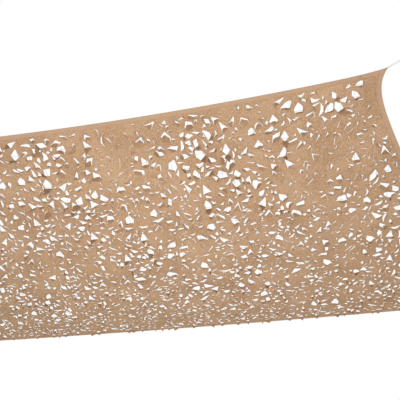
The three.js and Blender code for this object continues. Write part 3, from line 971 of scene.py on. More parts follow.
def knot_routes(rope, corner):
    """The wraps of a knot round the two legs of the eye, and the legs inside them."""
    tip, heading, level = rope_line(rope, corner)
    up = level.cross(heading)
    start = tip + heading * (2 * rope.tip_gap + rope.length)
    tall = rope.diameter / 2 + KNOT_STRAND * WRAP_SEAT
    wraps = []
    steps = WRAP_STEPS * rope.knot_turns
    for k in range(steps + 1):
        part = k / steps
        angle = 2 * math.pi * rope.knot_turns * part
        wide = tall + WRAP_WIDENING * part
        along = KNOT_STRAND + (rope.knot_length - 2 * KNOT_STRAND) * part
        wraps.append(start + heading * along + level * wide * math.cos(angle) + up * tall * math.sin(angle))
    legs = []
    for aside in (-1, 1):
        enter = start + level * aside * LEG_INSET
        leave = start + heading * rope.knot_length + level * aside * rope.leg_spacing / 2
        legs.append([enter.lerp(leave, k / LEG_STEPS) for k in range(LEG_STEPS + 1)])
    return wraps, legs


class SHADE_SAIL_OT_ropes(Operator):
    """Make the rope, knot and eye at each corner"""

    bl_idname = "shade_sail.ropes"
    bl_label = "Corner ropes"

    def execute(self, context):
        rope = context.scene.corner_rope
        colours = context.scene.sail_colours
        material = laid_rope(colours.rope, colours.rope_groove_shade, rope.lay_length)
        radius = rope.diameter / 2
        for corner in CORNERS:
            route = rope_route(rope, corner)
            wraps, legs = knot_routes(rope, corner)
            tubes = {
                "rope": [(route, radius)],
                "eye": [(eye_route(rope, corner), radius)],
                "knot": [(wraps, KNOT_STRAND)] + [(leg, radius) for leg in legs],
            }
            for name, paths in tubes.items():
                rope_piece(f"{name}_{corner}", paths, material, rope.lay_length)
        return {"FINISHED"}


# Leaves of the net

def row_line(sail, cut, row):
    """Share of the depth at which a row of repeats begins."""
    first = cut.edge_inset / sail.depth
    return first + (1 - 2 * first) * row / cut.rows


def cut_width(sail, cut, v):
    """Width of the cut cloth between the uncut edges."""
    return 2 * (half_width(sail, v) - cut.edge_inset * side_slant(sail))


def columns_in(sail, cut, row):
    """Repeats in a row: rows go in bands that share one count."""
    middle = (row // cut.band + 0.5) * cut.band
    return round(cut_width(sail, cut, row_line(sail, cut, middle)) / cut.repeat)


def leaf_rows(shape):
    """Rows of a leaf from its hinge: shares along it, and where its left and right sides lie."""
    table = np.array(list(LEAF_OUTLINES.values())[shape])
    along = np.union1d(table[:, 0], LEAF_STATIONS)
    left = np.interp(along, table[:, 0], -table[:, 1])
    right = np.interp(along, table[:, 0], table[:, 2])
    return along, left, right


def leaf_ring(leaf, scale=1.0):
    """Points round a leaf's cut on the flat layout, up one side from the hinge and down the other."""
    along, left, right = leaf_rows(leaf["shape"])
    around = np.concatenate([along, along[::-1]]) - 0.5
    off = np.concatenate([left, right[::-1]]) + leaf["skew"] * around
    forward = np.outer(around * leaf["length"] * scale, leaf["heading"])
    return leaf["centre"] + forward + np.outer(off * leaf["width"] * scale, leaf["aside"])


def new_leaf(kind, shape, centre, bearing, length, width, skew, lean=0.0):
    """A leaf on the flat layout, whose directions follow its bearing and the lean of the sides."""
    cosine = math.cos(bearing)
    sine = math.sin(bearing)
    return {
        "kind": kind,
        "shape": shape,
        "centre": np.array(centre),
        "heading": np.array((cosine + lean * sine, sine)),
        "aside": np.array((lean * cosine - sine, cosine)),
        "length": length,
        "width": width,
        "skew": skew,
    }


def lead_leaf(sail, cut, row, column, columns):
    """The lead leaf of a repeat, cut where the solid net has its opening, leaning with the slanting sides."""
    seed = row * ROW_SEED + column
    row_depth = (sail.depth - 2 * cut.edge_inset) / cut.rows
    margin_across = cut.lead_margin / cut.repeat
    margin_away = cut.lead_margin / row_depth
    part = (column + margin_across + (1 - 2 * margin_across) * scatter(seed, 1)) / columns - 0.5
    v = row_line(sail, cut, row + margin_away + (1 - 2 * margin_away) * scatter(seed, 2))
    step = 1e-4
    width_here = cut_width(sail, cut, v)
    return new_leaf(
        "lead",
        shape=int(scatter(seed, 6) * LEAD_SHAPES),
        centre=(part * width_here, v * sail.depth),
        bearing=NEARWARD + cut.lead_turn * (scatter(seed, 3) - 0.5),
        length=cut.lead_length * (1 + cut.lead_spread * (scatter(seed, 4) - 0.5)),
        width=cut.lead_width * (1 + cut.lead_spread * (scatter(seed, 5) - 0.5)),
        skew=cut.lead_skew * (scatter(seed, 7) - 0.5),
        lean=part * (cut_width(sail, cut, v + step) - width_here) / (step * sail.depth),
    )


def lead_leaves(sail, cut):
    """One lead leaf for each repeat, but for the plain ones beside the near corners."""
    leaves = []
    for row in range(cut.rows):
        columns = columns_in(sail, cut, row)
        for column in range(columns):
            if row >= cut.plain_rows or 0 < column < columns - 1:
                leaves.append(lead_leaf(sail, cut, row, column, columns))
    return leaves


def fringe_leaves(sail, cut, draw):
    """Small leaves along the far edge, at uneven distances, that fold back out under it."""
    leaves = []
    far_line = sail.depth - cut.edge_inset - FRINGE_GAP
    reach = cut_width(sail, cut, far_line / sail.depth) / 2
    across = -reach + draw.uniform(*FRINGE_STEPS)
    while across < reach - FRINGE_STEPS[0]:
        bearing = NEARWARD + FRINGE_TURN * (draw.random() - 0.5)
        heading = np.array((math.cos(bearing), math.sin(bearing)))
        length = draw.uniform(*FRINGE_LENGTHS)
        width = length * draw.uniform(*FRINGE_ASPECTS)
        hinge_reach = width * abs(heading[0])
        leaves.append(new_leaf(
            "fringe",
            shape=int(draw.integers(LEAD_SHAPES)),
            centre=np.array((across, far_line - hinge_reach)) + heading * length / 2,
            bearing=bearing,
            length=length,
            width=width,
            skew=cut.leaf_skew * (draw.random() - 0.5),
        ))
        across += draw.uniform(*FRINGE_STEPS)
    return leaves


def thrown_leaf(sail, cut, draw, length):
    """A smaller leaf at a random place, which points to the near edge or anywhere."""
    reach = sail.near_edge / 2 + sail.flare
    centre = (draw.uniform(-reach, reach), draw.uniform(0, sail.depth))
    turned = cut.leaf_turn if draw.random() < cut.near_share else cut.wide_turn
    bearing = NEARWARD + turned * (draw.random() - 0.5)
    aspect = cut.least_aspect + (cut.most_aspect - cut.least_aspect) * draw.random()
    return new_leaf(
        "thrown",
        shape=int(draw.integers(len(LEAF_OUTLINES))),
        centre=centre,
        bearing=bearing,
        length=length,
        width=length * aspect * (1 + cut.near_widening * max(0.0, -math.sin(bearing))),
        skew=cut.leaf_skew * (draw.random() - 0.5),
    )


def are_apart(one, two, gap):
    """Whether two rings lie a gap apart along the normal of one of their edges."""
    if np.any(one.min(0) - two.max(0) > gap) or np.any(two.min(0) - one.max(0) > gap):
        return True
    edges = np.concatenate([np.roll(one, -1, 0) - one, np.roll(two, -1, 0) - two])
    normals = np.stack([edges[:, 1], -edges[:, 0]])
    normals /= np.linalg.norm(normals, axis=0)
    first = one @ normals
    second = two @ normals
    ahead = second.min(0) - first.max(0)
    behind = first.min(0) - second.max(0)
    return max(ahead.max(), behind.max()) > gap


def inside_margin(sail, cut, ring):
    """Whether a ring keeps clear of the uncut edges."""
    v = ring[:, 1] / sail.depth
    edge = cut.edge_inset / sail.depth
    if v.min() < edge or v.max() > 1 - edge:
        return False
    return bool(np.all(np.abs(ring[:, 0]) < cut_width(sail, cut, v) / 2))


def lay_out_leaves(sail, cut):
    """The lead leaves and the fringe, and smaller leaves thrown between them from the longest down."""
    draw = np.random.default_rng(LAYOUT_SEED)
    leaves = []
    bins = {}

    def place(leaf):
        """Keeps a leaf where it lies clear of the edges and of the leaves kept before."""
        ring = leaf_ring(leaf)
        home = tuple(np.floor(leaf["centre"] / BIN_SIZE).astype(int))
        around = [(home[0] + a, home[1] + b) for a in (-1, 0, 1) for b in (-1, 0, 1)]
        near = [other for spot in around for other in bins.get(spot, [])]
        if inside_margin(sail, cut, ring) and all(are_apart(ring, other, cut.cut_gap) for other in near):
            bins.setdefault(home, []).append(ring)
            leaves.append(leaf)

    for leaf in lead_leaves(sail, cut) + fringe_leaves(sail, cut, draw):
        place(leaf)
    shrink = np.sort(draw.random(cut.throws)) ** cut.small_bias
    for length in cut.leaf_length * (1 - cut.leaf_spread * shrink):
        leaf = thrown_leaf(sail, cut, draw, length)
        patch = float(swell(OPEN_PATCHES, *leaf["centre"]))
        far = leaf["centre"][1] / sail.depth
        chance = 1 + SHORT_GAIN * patch
        if length > LONG_LEAF:
            chance = LONG_CHANCE * (1 - FAR_THINNING * far**2) + LONG_GAIN * patch
        if draw.random() < chance:
            place(leaf)
    return leaves


def leaf_bends(context, leaves):
    """How each leaf hangs: its bends, its side of the cloth, its roll and cup, and the painted shade that
    darkens it as it bends.
    """
    draws = np.random.default_rng(BEND_SEED).random((BEND_DRAWS, len(leaves)))
    open_draw, hinge_draw, curl_draw, roll_draw, cup_draw, side_draw, shade_draw = draws
    kind = np.array([leaf["kind"] for leaf in leaves])
    length, width, skew = np.array([(leaf["length"], leaf["width"], leaf["skew"]) for leaf in leaves]).T
    reach = width * (1 + np.abs(skew)) / 2
    heading_away = np.array([leaf["heading"][1] for leaf in leaves])
    across, away = np.array([leaf["centre"] for leaf in leaves]).T

    # How far each opens, and the bends that go with it
    openness = open_draw + swell(OPEN_PATCHES, across, away) + np.where(kind == "lead", LEAD_EASE, 0)
    far = away / context.scene.sail_shape.depth
    openness += np.where(length > LONG_LEAF, FAR_EASE, FAR_LIFT) * far**2
    bend = np.where(kind == "fringe", FRINGE_BEND, np.interp(openness, OPENING_STEPS, OPENING_BENDS))
    hinge = np.radians(bend + HINGE_SPREAD * (hinge_draw - 0.5))
    hang = np.where(kind == "fringe", FRINGE, np.where(openness > OPENING_STEPS[0], OPEN, SHUT))
    least_curl, most_curl = np.radians(CURLS)[hang].T
    curl = least_curl + (most_curl - least_curl) * curl_draw

    # The room below it holds back its roll, and then its bends
    room = hung(context, across, away)[:, 2] - CAD_LOW.z + HANG_BELOW
    most_roll = ROLL_ROOM * room / reach
    roll = np.clip((roll_draw - 0.5) * np.array(ROLLS)[hang], -most_roll, most_roll)
    cup = cup_draw * np.array(CUPS)[hang]
    room -= reach * np.abs(roll) + CUP_DEPTH * cup * reach**2 / width
    for _ in range(EASING_ROUNDS):
        fall = length / curl * (np.cos(hinge) - np.cos(hinge + curl))
        easing = np.where((fall > room) & (kind != "fringe"), EASING_STEP, 1.0)
        hinge = hinge * easing
        curl = curl * easing

    side = np.where((heading_away > UPPER_HEADING) & (side_draw < UPPER_SHARE), 1.0, -1.0)
    # Painted shade, darker the more a leaf bends out of the cloth
    tone = LEAF_PAINTED_SHADE * (0.5 + shade_draw / 2) * np.minimum(1, (hinge + curl / 2) / PAINTED_SHADE_BEND)
    return {"hinge": hinge, "curl": curl, "side": side, "roll": roll, "cup": cup, "leaf_painted_shade": tone}


def laid_flat(places):
    """Places of the flat layout as points at no height."""
    return np.pad(np.array(places), ((0, 0), (0, 1)))


def leaf_places(context, leaves):
    """Points at the leaves' hinges on the flat layout, with each leaf's directions, sizes and bend."""
    hinges = laid_flat([leaf["centre"] - leaf["heading"] * leaf["length"] / 2 for leaf in leaves])
    mesh = mesh_of("leaf_places", hinges, [])
    set_attribute(mesh, "base", "FLOAT_VECTOR", hinges)
    for name in ("heading", "aside"):
        set_attribute(mesh, name, "FLOAT_VECTOR", laid_flat([leaf[name] for leaf in leaves]))
    for name in ("length", "width", "skew", "shape"):
        set_attribute(mesh, name, LEAF_FIELDS[name], [leaf[name] for leaf in leaves])
    for name, values in leaf_bends(context, leaves).items():
        set_attribute(mesh, name, "FLOAT", values)
    return mesh


def blank_leaf(name, shape):
    """A flat leaf: x is the share of its length from the hinge, and y the share of its width aside."""
    along, left, right = leaf_rows(shape)
    aside = np.stack([left, (left + right) / 2, right], 1)
    points = np.stack([np.repeat(along, 3), aside.ravel(), np.zeros(aside.size)], 1)
    mesh = mesh_of(name, points, [face[::-1] for face in grid_faces(len(along), 3)])
    set_attribute(mesh, "leaf_place", "FLOAT_VECTOR", points)
    return mesh


# Cloth of the net and its backing threads

def eased(count):
    """Shares from 0 to 1 that lie closer together at both ends."""
    return (1 - np.cos(np.pi * np.arange(count + 1) / count)) / 2


def strip_place(sail, edge, part, inward, gap=0.0):
    """Flat place at a share along one edge and a distance in from it, mitred at the corners."""
    slant = side_slant(sail)
    if edge in ("near", "far"):
        y = inward if edge == "near" else sail.depth - inward
        end = half_width(sail, y / sail.depth) - (inward + gap) * slant
        across = 2 * part - 1 if edge == "near" else 1 - 2 * part
        return across * end, y + 0 * part
    low = inward + gap
    y = low + (sail.depth - 2 * low) * (part if edge == "right" else 1 - part)
    x = half_width(sail, y / sail.depth) - inward * slant
    return (x if edge == "right" else -x), y


def net_outline(sail):
    """The raw edge of the net on the flat layout, as one closed line."""
    sides = []
    for edge in ("near", "right", "far", "left"):
        x, y = strip_place(sail, edge, eased(OUTLINE_STEPS)[:-1], OUTLINE_INSET)
        sides.append(np.stack([x, y], 1))
    return np.concatenate(sides)


def inside_ring(points, ring):
    """Which points lie inside a closed ring."""
    x, y = points[:, :1], points[:, 1:]
    x_from, y_from = ring.T
    x_to, y_to = np.roll(ring, -1, 0).T
    crosses = (y_from > y) != (y_to > y)
    slope = (x_to - x_from) / np.where(y_to == y_from, 1.0, y_to - y_from)
    return np.sum(crosses & (x < x_from + slope * (y - y_from)), 1) % 2 == 1


def fill_places(sail, leaves):
    """Points of a triangular grid over the cloth that keep clear of its edges and of the cuts."""
    reach = sail.near_edge / 2 + sail.flare
    rows = np.arange(FILL_STEP, sail.depth - FILL_STEP, FILL_ROW)
    columns = np.arange(-reach, reach, FILL_STEP)
    y, x = np.meshgrid(rows, columns, indexing="ij")
    x = x + FILL_STEP / 2 * (np.arange(len(rows)) % 2)[:, None]
    margin = (OUTLINE_INSET + FILL_STEP / 2) * side_slant(sail)
    in_sail = np.abs(x) < half_width(sail, y / sail.depth) - margin
    places = np.stack([x[in_sail], y[in_sail]], 1)
    lookup = KDTree(len(places))
    for index, (across, away) in enumerate(places):
        lookup.insert((across, away, 0), index)
    lookup.balance()
    free = np.ones(len(places), bool)
    for leaf in leaves:
        found = lookup.find_range((*leaf["centre"], 0), leaf["length"] * FILL_CLEARANCE)
        near = np.array([index for _, index, _ in found], int)
        for scale in (1.0, FILL_CLEARANCE):
            free[near[inside_ring(places[near], leaf_ring(leaf, scale))]] = False
    return places[free]


def signed_area(corners):
    """Twice the area of triangles, above zero where their corners run anticlockwise."""
    first = corners[:, 1] - corners[:, 0]
    second = corners[:, 2] - corners[:, 0]
    return first[:, 0] * second[:, 1] - first[:, 1] * second[:, 0]


def cloth_faces(faces, points, rings, owner):
    """The triangles of the cloth itself, without those in the cuts or outside its raw edge."""
    ordered = np.sort(faces, 1)
    first, second, third = owner[ordered].T
    one_ring = (first == second) & (first == third) & (first >= 0)
    # In the order of its ring a triangle turns like the ring where it lies inside, and the other way outside
    fans = [np.stack([ring, np.roll(ring, -1, 0), 0 * ring], 1) for ring in rings]
    turns = np.array([np.sum(signed_area(fan)) for fan in fans])
    inside = signed_area(points[ordered]) * turns[first] > 0
    is_edge = first == 0
    return faces[~(one_ring & (inside != is_edge))]


def cut_sheet(sail, cut, leaves):
    """The flat cloth without the leaves, as triangles, with the lips that lift or sink along the cuts."""
    rings = [net_outline(sail)] + [leaf_ring(leaf) for leaf in leaves]
    counts = [len(ring) for ring in rings]
    fill = fill_places(sail, leaves)
    points = np.concatenate(rings + [fill])
    owner = np.concatenate([np.repeat(np.arange(len(rings)), counts), np.full(len(fill), -1)])
    edges = []
    for count, end in zip(counts, np.cumsum(counts)):
        edges.extend((end - count + k, end - count + (k + 1) % count) for k in range(count))
    made = delaunay_2d_cdt([Vector(point) for point in points], edges, [], 0, CUT_TOLERANCE, False)
    if len(made[0]) != len(points):
        raise RuntimeError("two cuts of the net touch")
    faces = cloth_faces(np.array(made[2]), points, rings, owner)
    mesh = mesh_of("cut_sheet", laid_flat(points), faces.tolist())
    lips = np.random.default_rng(LAYOUT_SEED).normal(0, cut.lip_height, len(leaves))
    drop = np.zeros(len(points))
    start = counts[0]
    for leaf, lip in zip(leaves, lips):
        along = leaf_rows(leaf["shape"])[0]
        drop[start:start + 2 * len(along)] = lip * np.concatenate([along, along[::-1]])
        start += 2 * len(along)
    set_attribute(mesh, "drop", "FLOAT", drop)
    set_attribute(mesh, "flat", "FLOAT_VECTOR", laid_flat(points))
    return mesh


def backing_lines(sail, cut, strip):
    """Lines of the backing net on the flat layout, across and away, whose ends are under the bindings."""
    tuck = BACKING_TUCK * strip.width
    widest = sail.near_edge / 2 + sail.flare
    steps_across = np.arange(-widest, widest, BACKING_STEP)
    steps_away = np.arange(tuck, sail.depth - tuck, BACKING_STEP)
    lines = []
    for y in np.arange(tuck + cut.backing_pitch / 2, sail.depth - tuck, cut.backing_pitch):
        lines.append(np.stack([steps_across, np.full(len(steps_across), y)], 1))
    for x in np.arange(-widest, widest, cut.backing_pitch):
        lines.append(np.stack([np.full(len(steps_away), x), steps_away], 1))
    runs = []
    for line in lines:
        x, y = line.T
        within = np.abs(x) < half_width(sail, y / sail.depth) - tuck * side_slant(sail)
        breaks = np.flatnonzero(np.diff(within)) + 1
        for run, kept in zip(np.split(line, breaks), np.split(within, breaks)):
            if kept[0] and len(run) > 1:
                runs.append(run)
    return runs


def backing_threads(sail, cut, strip):
    """Thin tubes along the backing net's lines, flat and with the height of each point over the cloth."""
    angles = np.radians(BACKING_SECTION)
    radius = cut.backing_thread / 2
    points = []
    drops = []
    faces = []
    for line in backing_lines(sail, cut, strip):
        line = line + BACKING_SWAY * np.sin(line @ np.array(BACKING_WAVES))
        along = np.gradient(line, axis=0)
        beside = np.stack([-along[:, 1], along[:, 0]], 1) / np.linalg.norm(along, axis=1)[:, None]
        rings = line[:, None] + radius * np.cos(angles)[None, :, None] * beside[:, None]
        faces.extend(tube_faces(len(line), len(angles), start=len(points)))
        points.extend(rings.reshape(-1, 2))
        drops.extend(np.tile(BACKING_HEIGHT + radius * np.sin(angles), len(line)))
    mesh = mesh_of("backing_threads", laid_flat(points), faces)
    set_attribute(mesh, "drop", "FLOAT", drops)
    set_attribute(mesh, "flat", "FLOAT_VECTOR", laid_flat(points))
    return mesh


def hanging_surface(context):
    """The hanging cloth without cuts, with its flat layout as a map and how free it is to ripple."""
    sail = context.scene.sail_shape
    v, s = np.meshgrid(eased(HANGING_ROWS), 2 * eased(HANGING_COLUMNS) - 1, indexing="ij")
    half = half_width(sail, v)
    x = s * half
    y = v * sail.depth
    points = raised(context, x.ravel(), y.ravel(), swell(CREASES, x.ravel(), y.ravel()) / MM)
    mesh = mesh_of("hanging_surface", points, grid_faces(HANGING_ROWS + 1, HANGING_COLUMNS + 1))
    set_uv(mesh, np.stack([x.ravel() / FLAT_SPAN + MAP_SHIFT[0], y.ravel() / FLAT_SPAN], 1))
    edge = np.minimum((half - np.abs(x)) / side_slant(sail), np.minimum(y, sail.depth - y))
    free = np.clip((edge - context.scene.edge_binding.width) / FREE_RUN, 0, 1)
    set_attribute(mesh, "free", "FLOAT", free.ravel())
    mesh.shade_smooth()
    return mesh


# Tree of the net

def leaf_socket(name):
    """Name of the tree's input for the leaves of one outline."""
    return f"{name.capitalize()} leaf"


def leaf_cut_tree():
    """Bends a leaf at every hinge, joins the leaves with the cut sheet and hangs it all on the surface."""
    sockets = {leaf_socket(name): "NodeSocketObject" for name in LEAF_OUTLINES}
    sockets |= {
        "Cut sheet": "NodeSocketObject",
        "Hanging surface": "NodeSocketObject",
        "Crumple height": "NodeSocketFloat",
        "Crumple size": "NodeSocketFloat",
        "Cloth": "NodeSocketMaterial",
    }
    tree = new_tree("leaf_cut_net", sockets)
    given = add(tree, "NodeGroupInput").outputs
    value = {}
    for name, kind in LEAF_FIELDS.items():
        value[name] = add(tree, "GeometryNodeInputNamedAttribute", {"Name": name}, data_type=kind).outputs[0]

    # A copy of its own outline at each hinge, which remembers its places along and aside
    gathered = add(tree, "GeometryNodeJoinGeometry")
    for number, name in enumerate(LEAF_OUTLINES):
        blank = add(tree, "GeometryNodeObjectInfo", {"Object": given[leaf_socket(name)]})
        same = {2: value["shape"], 3: number}
        chosen = add(tree, "FunctionNodeCompare", same, data_type="INT", operation="EQUAL")
        copies = add(tree, "GeometryNodeInstanceOnPoints", {
            "Points": given["Geometry"],
            "Selection": chosen.outputs[0],
            "Instance": blank.outputs["Geometry"],
        })
        set_inputs(tree, gathered, {0: copies.outputs[0]})
    leaves = add(tree, "GeometryNodeRealizeInstances", {"Geometry": gathered.outputs[0]})

    # Each leaf's place on the flat cloth and its bent form
    shares = add(tree, "ShaderNodeSeparateXYZ", {0: value["leaf_place"]}).outputs
    value["along"] = shares["X"]
    value["off_share"] = shares["Y"]
    for name, kind, operation, *sources in LEAF_STEPS:
        inputs = {number: value.get(source, source) for number, source in enumerate(sources)}
        value[name] = add(tree, kind, inputs, operation=operation).outputs[0]

    # The bent leaves keep their flat places for the ripples and the map
    for name, step in (("flat", "flat_place"), ("drop", "leaf_drop")):
        stored = {"Geometry": leaves.outputs[0], "Name": name, "Value": value[step]}
        leaves = add(
            tree,
            "GeometryNodeStoreNamedAttribute",
            stored,
            data_type=LEAF_FIELDS[name],
            domain="POINT",
        )
    bent = {"Geometry": leaves.outputs[0], "Position": value["bent_place"]}
    hanging = add(tree, "GeometryNodeSetPosition", bent)
    sheet = add(tree, "GeometryNodeObjectInfo", {"Object": given["Cut sheet"]})
    cloth = add(tree, "GeometryNodeJoinGeometry", {0: sheet.outputs["Geometry"]})
    set_inputs(tree, cloth, {0: hanging.outputs[0]})

    # What each place of the map finds on the hanging surface
    surface = add(tree, "GeometryNodeObjectInfo", {"Object": given["Hanging surface"]})
    position = add(tree, "GeometryNodeInputPosition").outputs[0]
    normal = add(tree, "GeometryNodeInputNormal").outputs[0]
    map_place = add(tree, VECTOR, {0: position, 1: TO_MAP, 2: MAP_SHIFT}, operation="MULTIPLY_ADD")
    sampled = {}
    for name, source, kind in (
        ("place", position, "FLOAT_VECTOR"),
        ("normal", normal, "FLOAT_VECTOR"),
        ("free", value["free"], "FLOAT"),
    ):
        lookup = {
            "Mesh": surface.outputs["Geometry"],
            "Value": source,
            "UV Map": value["UVMap"],
            "Sample UV": map_place.outputs[0],
        }
        sampled[name] = add(tree, "GeometryNodeSampleUVSurface", lookup, data_type=kind).outputs[0]

    # Everything is laid there at its own height and with soft ripples
    density = add(tree, NUMBER, {0: 1.0, 1: given["Crumple size"]}, operation="DIVIDE").outputs[0]
    crumple = {"Vector": value["flat"], "Scale": density, "Detail": 2.0, "Roughness": 0.55}
    noise = add(tree, "ShaderNodeTexNoise", crumple).outputs[0]
    centred = add(tree, NUMBER, {0: noise, 1: 0.5}, operation="SUBTRACT").outputs[0]
    ripple = add(tree, NUMBER, {0: centred, 1: given["Crumple height"]}, operation="MULTIPLY").outputs[0]
    lifted = {0: ripple, 1: sampled["free"], 2: value["drop"]}
    height = add(tree, NUMBER, lifted, operation="MULTIPLY_ADD").outputs[0]
    offset = {0: sampled["normal"], 1: height, 2: sampled["place"]}
    final = add(tree, VECTOR, offset, operation="MULTIPLY_ADD")
    laid = {"Geometry": cloth.outputs[0], "Position": final.outputs[0]}
    hung_cloth = add(tree, "GeometryNodeSetPosition", laid)
    flat_map = add(tree, VECTOR, {0: value["flat"], 1: TO_MAP, 2: MAP_SHIFT}, operation="MULTIPLY_ADD")
    mapped = {"Geometry": hung_cloth.outputs[0], "Name": "UVMap", "Value": flat_map.outputs[0]}
    with_map = add(tree, "GeometryNodeStoreNamedAttribute", mapped, data_type="FLOAT2", domain="CORNER")
    smooth = add(tree, "GeometryNodeSetShadeSmooth", {"Geometry": with_map.outputs[0], "Shade Smooth": True})
    whole = add(tree, "GeometryNodeRealizeInstances", {"Geometry": smooth.outputs[0]})
    finish = {"Geometry": whole.outputs[0], "Material": given["Cloth"]}
    finished = add(tree, "GeometryNodeSetMaterial", finish)
    add(tree, "NodeGroupOutput", {"Geometry": finished.outputs[0]})
    return tree


def finish_net_piece(piece, replaced):
    """Drops the values that only the tree needed, and finishes a piece of the net."""
    attributes = piece.data.attributes
    for name in LEAF_FIELDS:
        if name in attributes and name != "UVMap":
            attributes.remove(attributes[name])
    finish_piece(piece, replaced)


class SHADE_SAIL_OT_net(Operator):
    """Cut the net into leaves, lay it under its backing threads and hang both inside the bindings"""

    bl_idname = "shade_sail.net"
    bl_label = "Net"

    def execute(self, context):
        sail = context.scene.sail_shape
        cut = context.scene.leaf_cut
        colours = context.scene.sail_colours
        leaves = lay_out_leaves(sail, cut)
        threads = backing_threads(sail, cut, context.scene.edge_binding)
        sheet = place_object("cut_sheet", cut_sheet(sail, cut, leaves))
        flat_threads = place_object("flat_threads", threads)
        common = {"Hanging surface": place_object("hanging_surface", hanging_surface(context))}
        for shape, name in enumerate(LEAF_OUTLINES):
            blank = blank_leaf(f"{name}_leaf", shape)
            common[leaf_socket(name)] = place_object(f"{name}_leaf", blank)
        helpers = [sheet, flat_threads, *common.values()]
        common |= {"Crumple height": cut.crumple_height, "Crumple size": cut.crumple_size}

        tones = (colours.net_light, colours.net_dark)
        # The net's material also paints shade on the bent leaves
        cloth = woven_cloth("woven_polyester_net", *tones, NET_THREAD_MM, painted_shade_attribute="leaf_painted_shade")
        backing_thread = spun_thread("spun_backing_thread", colours.backing)
        tree = leaf_cut_tree()
        cut_cloth = common | {"Cut sheet": sheet, "Cloth": cloth}
        net = run_tree("leaf_cut_net", leaf_places(context, leaves), tree, cut_cloth)
        thread_net = common | {"Cut sheet": flat_threads, "Cloth": backing_thread}
        backing = run_tree("backing_threads", mesh_of("no_leaves", [], []), tree, thread_net)
        face_outwards(backing.data)
        for helper in helpers:
            bpy.data.objects.remove(helper)
        finish_net_piece(net, ["net"])
        finish_net_piece(backing, [])

        edging = [bpy.data.objects[f"bound_{edge}"] for edge in EDGES]
        edging += [bpy.data.objects["stitches"], backing]
        return {"FINISHED"}


# Bindings and stitches

def binding_section(strip):
    """Closed section of a folded strip: distances inward and heights, round the outside and back inside."""
    rows = [dict(zip(LAYER_COLUMNS, row)) for row in LAYER_ROWS]
    outer = [(row["inward"] * strip.width, row["outer"] * strip.outer) for row in rows]
    inner = [(row["inward"] * strip.width, row["inner"] * strip.inner) for row in rows]
    turns = [math.radians(angle) for angle in FOLD_TURNS]
    outer_fold = [(strip.outer * (1 - math.cos(a)), strip.outer * math.sin(a)) for a in turns]
    inner_fold = [(strip.outer - strip.inner * math.cos(a), strip.inner * math.sin(a)) for a in turns]
    outer_under = [(inward, -height) for inward, height in reversed(outer)]
    inner_under = [(inward, -height) for inward, height in inner]
    return np.array(outer + outer_fold + outer_under + inner_under + inner_fold[::-1] + inner[::-1])


def pucker(strip, along, inward):
    """Height of the ripples that the sewing draws in a strip."""
    turns = 2 * math.pi * along / strip.pucker_size
    wave = sum(height * np.sin(rate * turns + phase) for height, rate, phase in PUCKER_WAVES)
    return strip.pucker * wave * np.sin(math.pi * np.clip(inward / strip.width, 0, 1))


def strip_points(context, edge, parts, section):
    """Rows of points along one edge, a row for each station and a column for each point of the section."""
    sail = context.scene.sail_shape
    strip = context.scene.edge_binding
    part, inward = np.meshgrid(parts, section[:, 0], indexing="ij")
    height = np.broadcast_to(section[:, 1], part.shape)
    x, y = strip_place(sail, edge, part, inward, strip.mitre_gap)
    along = x if edge in ("near", "far") else y
    return raised(context, x, y, height + pucker(strip, along, inward)), along


def bind_edge(context, edge, material):
    """The folded strip of one edge."""
    section = binding_section(context.scene.edge_binding)
    points, along = strip_points(context, edge, eased(STRIP_STATIONS), section)
    name = f"bound_{edge}"
    mesh = mesh_of(name, points.reshape(-1, 3), tube_faces(*along.shape))
    face_outwards(mesh)
    steps = np.linalg.norm(np.diff(section, axis=0), axis=1)
    around = np.broadcast_to(np.concatenate([[0], np.cumsum(steps)]), along.shape)
    set_uv(mesh, np.stack([along.ravel(), around.ravel()], 1) / FLAT_SPAN)
    mesh.shade_smooth()
    finish_piece(place_object(name, mesh), [f"binding_{edge}"], material)


class SHADE_SAIL_OT_bindings(Operator):
    """Fold a plain strip over each edge"""

    bl_idname = "shade_sail.bindings"
    bl_label = "Edge bindings"

    def execute(self, context):
        colours = context.scene.sail_colours
        tones = (colours.binding_light, colours.binding_dark)
        material = woven_cloth("woven_polyester_binding", *tones, BINDING_THREAD_MM)
        for edge in EDGES:
            bind_edge(context, edge, material)
        return {"FINISHED"}


def blank_stitch(strip):
    """One stitch: a short thread along X that dips into the cloth at both ends."""
    points = []
    for along, thick in STITCH_RINGS:
        for k in range(STITCH_SIDES):
            angle = 2 * math.pi * k / STITCH_SIDES
            reach = strip.stitch_thickness / 2 * thick
            points.append((along * strip.stitch_length, reach * math.cos(angle), reach * math.sin(angle)))
    mesh = mesh_of("blank_stitch", points, tube_faces(len(STITCH_RINGS), STITCH_SIDES))
    face_outwards(mesh)
    return mesh


def stitch_lines(context):
    """The sewing lines along both faces of every binding."""
    strip = context.scene.edge_binding
    table = np.array(LAYER_ROWS)[::-1]
    layer = np.interp(strip.stitch_inset / strip.width, table[:, 0], table[:, 1]) * strip.outer
    parts = eased(SEWING_STATIONS)[SEWING_ENDS:-SEWING_ENDS]
    points = []
    edges = []
    for edge in EDGES:
        for face in (1, -1):
            height = face * (layer + strip.stitch_thickness / 4)
            line, _ = strip_points(context, edge, parts, np.array([(strip.stitch_inset, height)]))
            start = len(points)
            points.extend(line.reshape(-1, 3))
            edges.extend((k, k + 1) for k in range(start, len(points) - 1))
    return mesh_of("stitch_lines", points, [], edges)


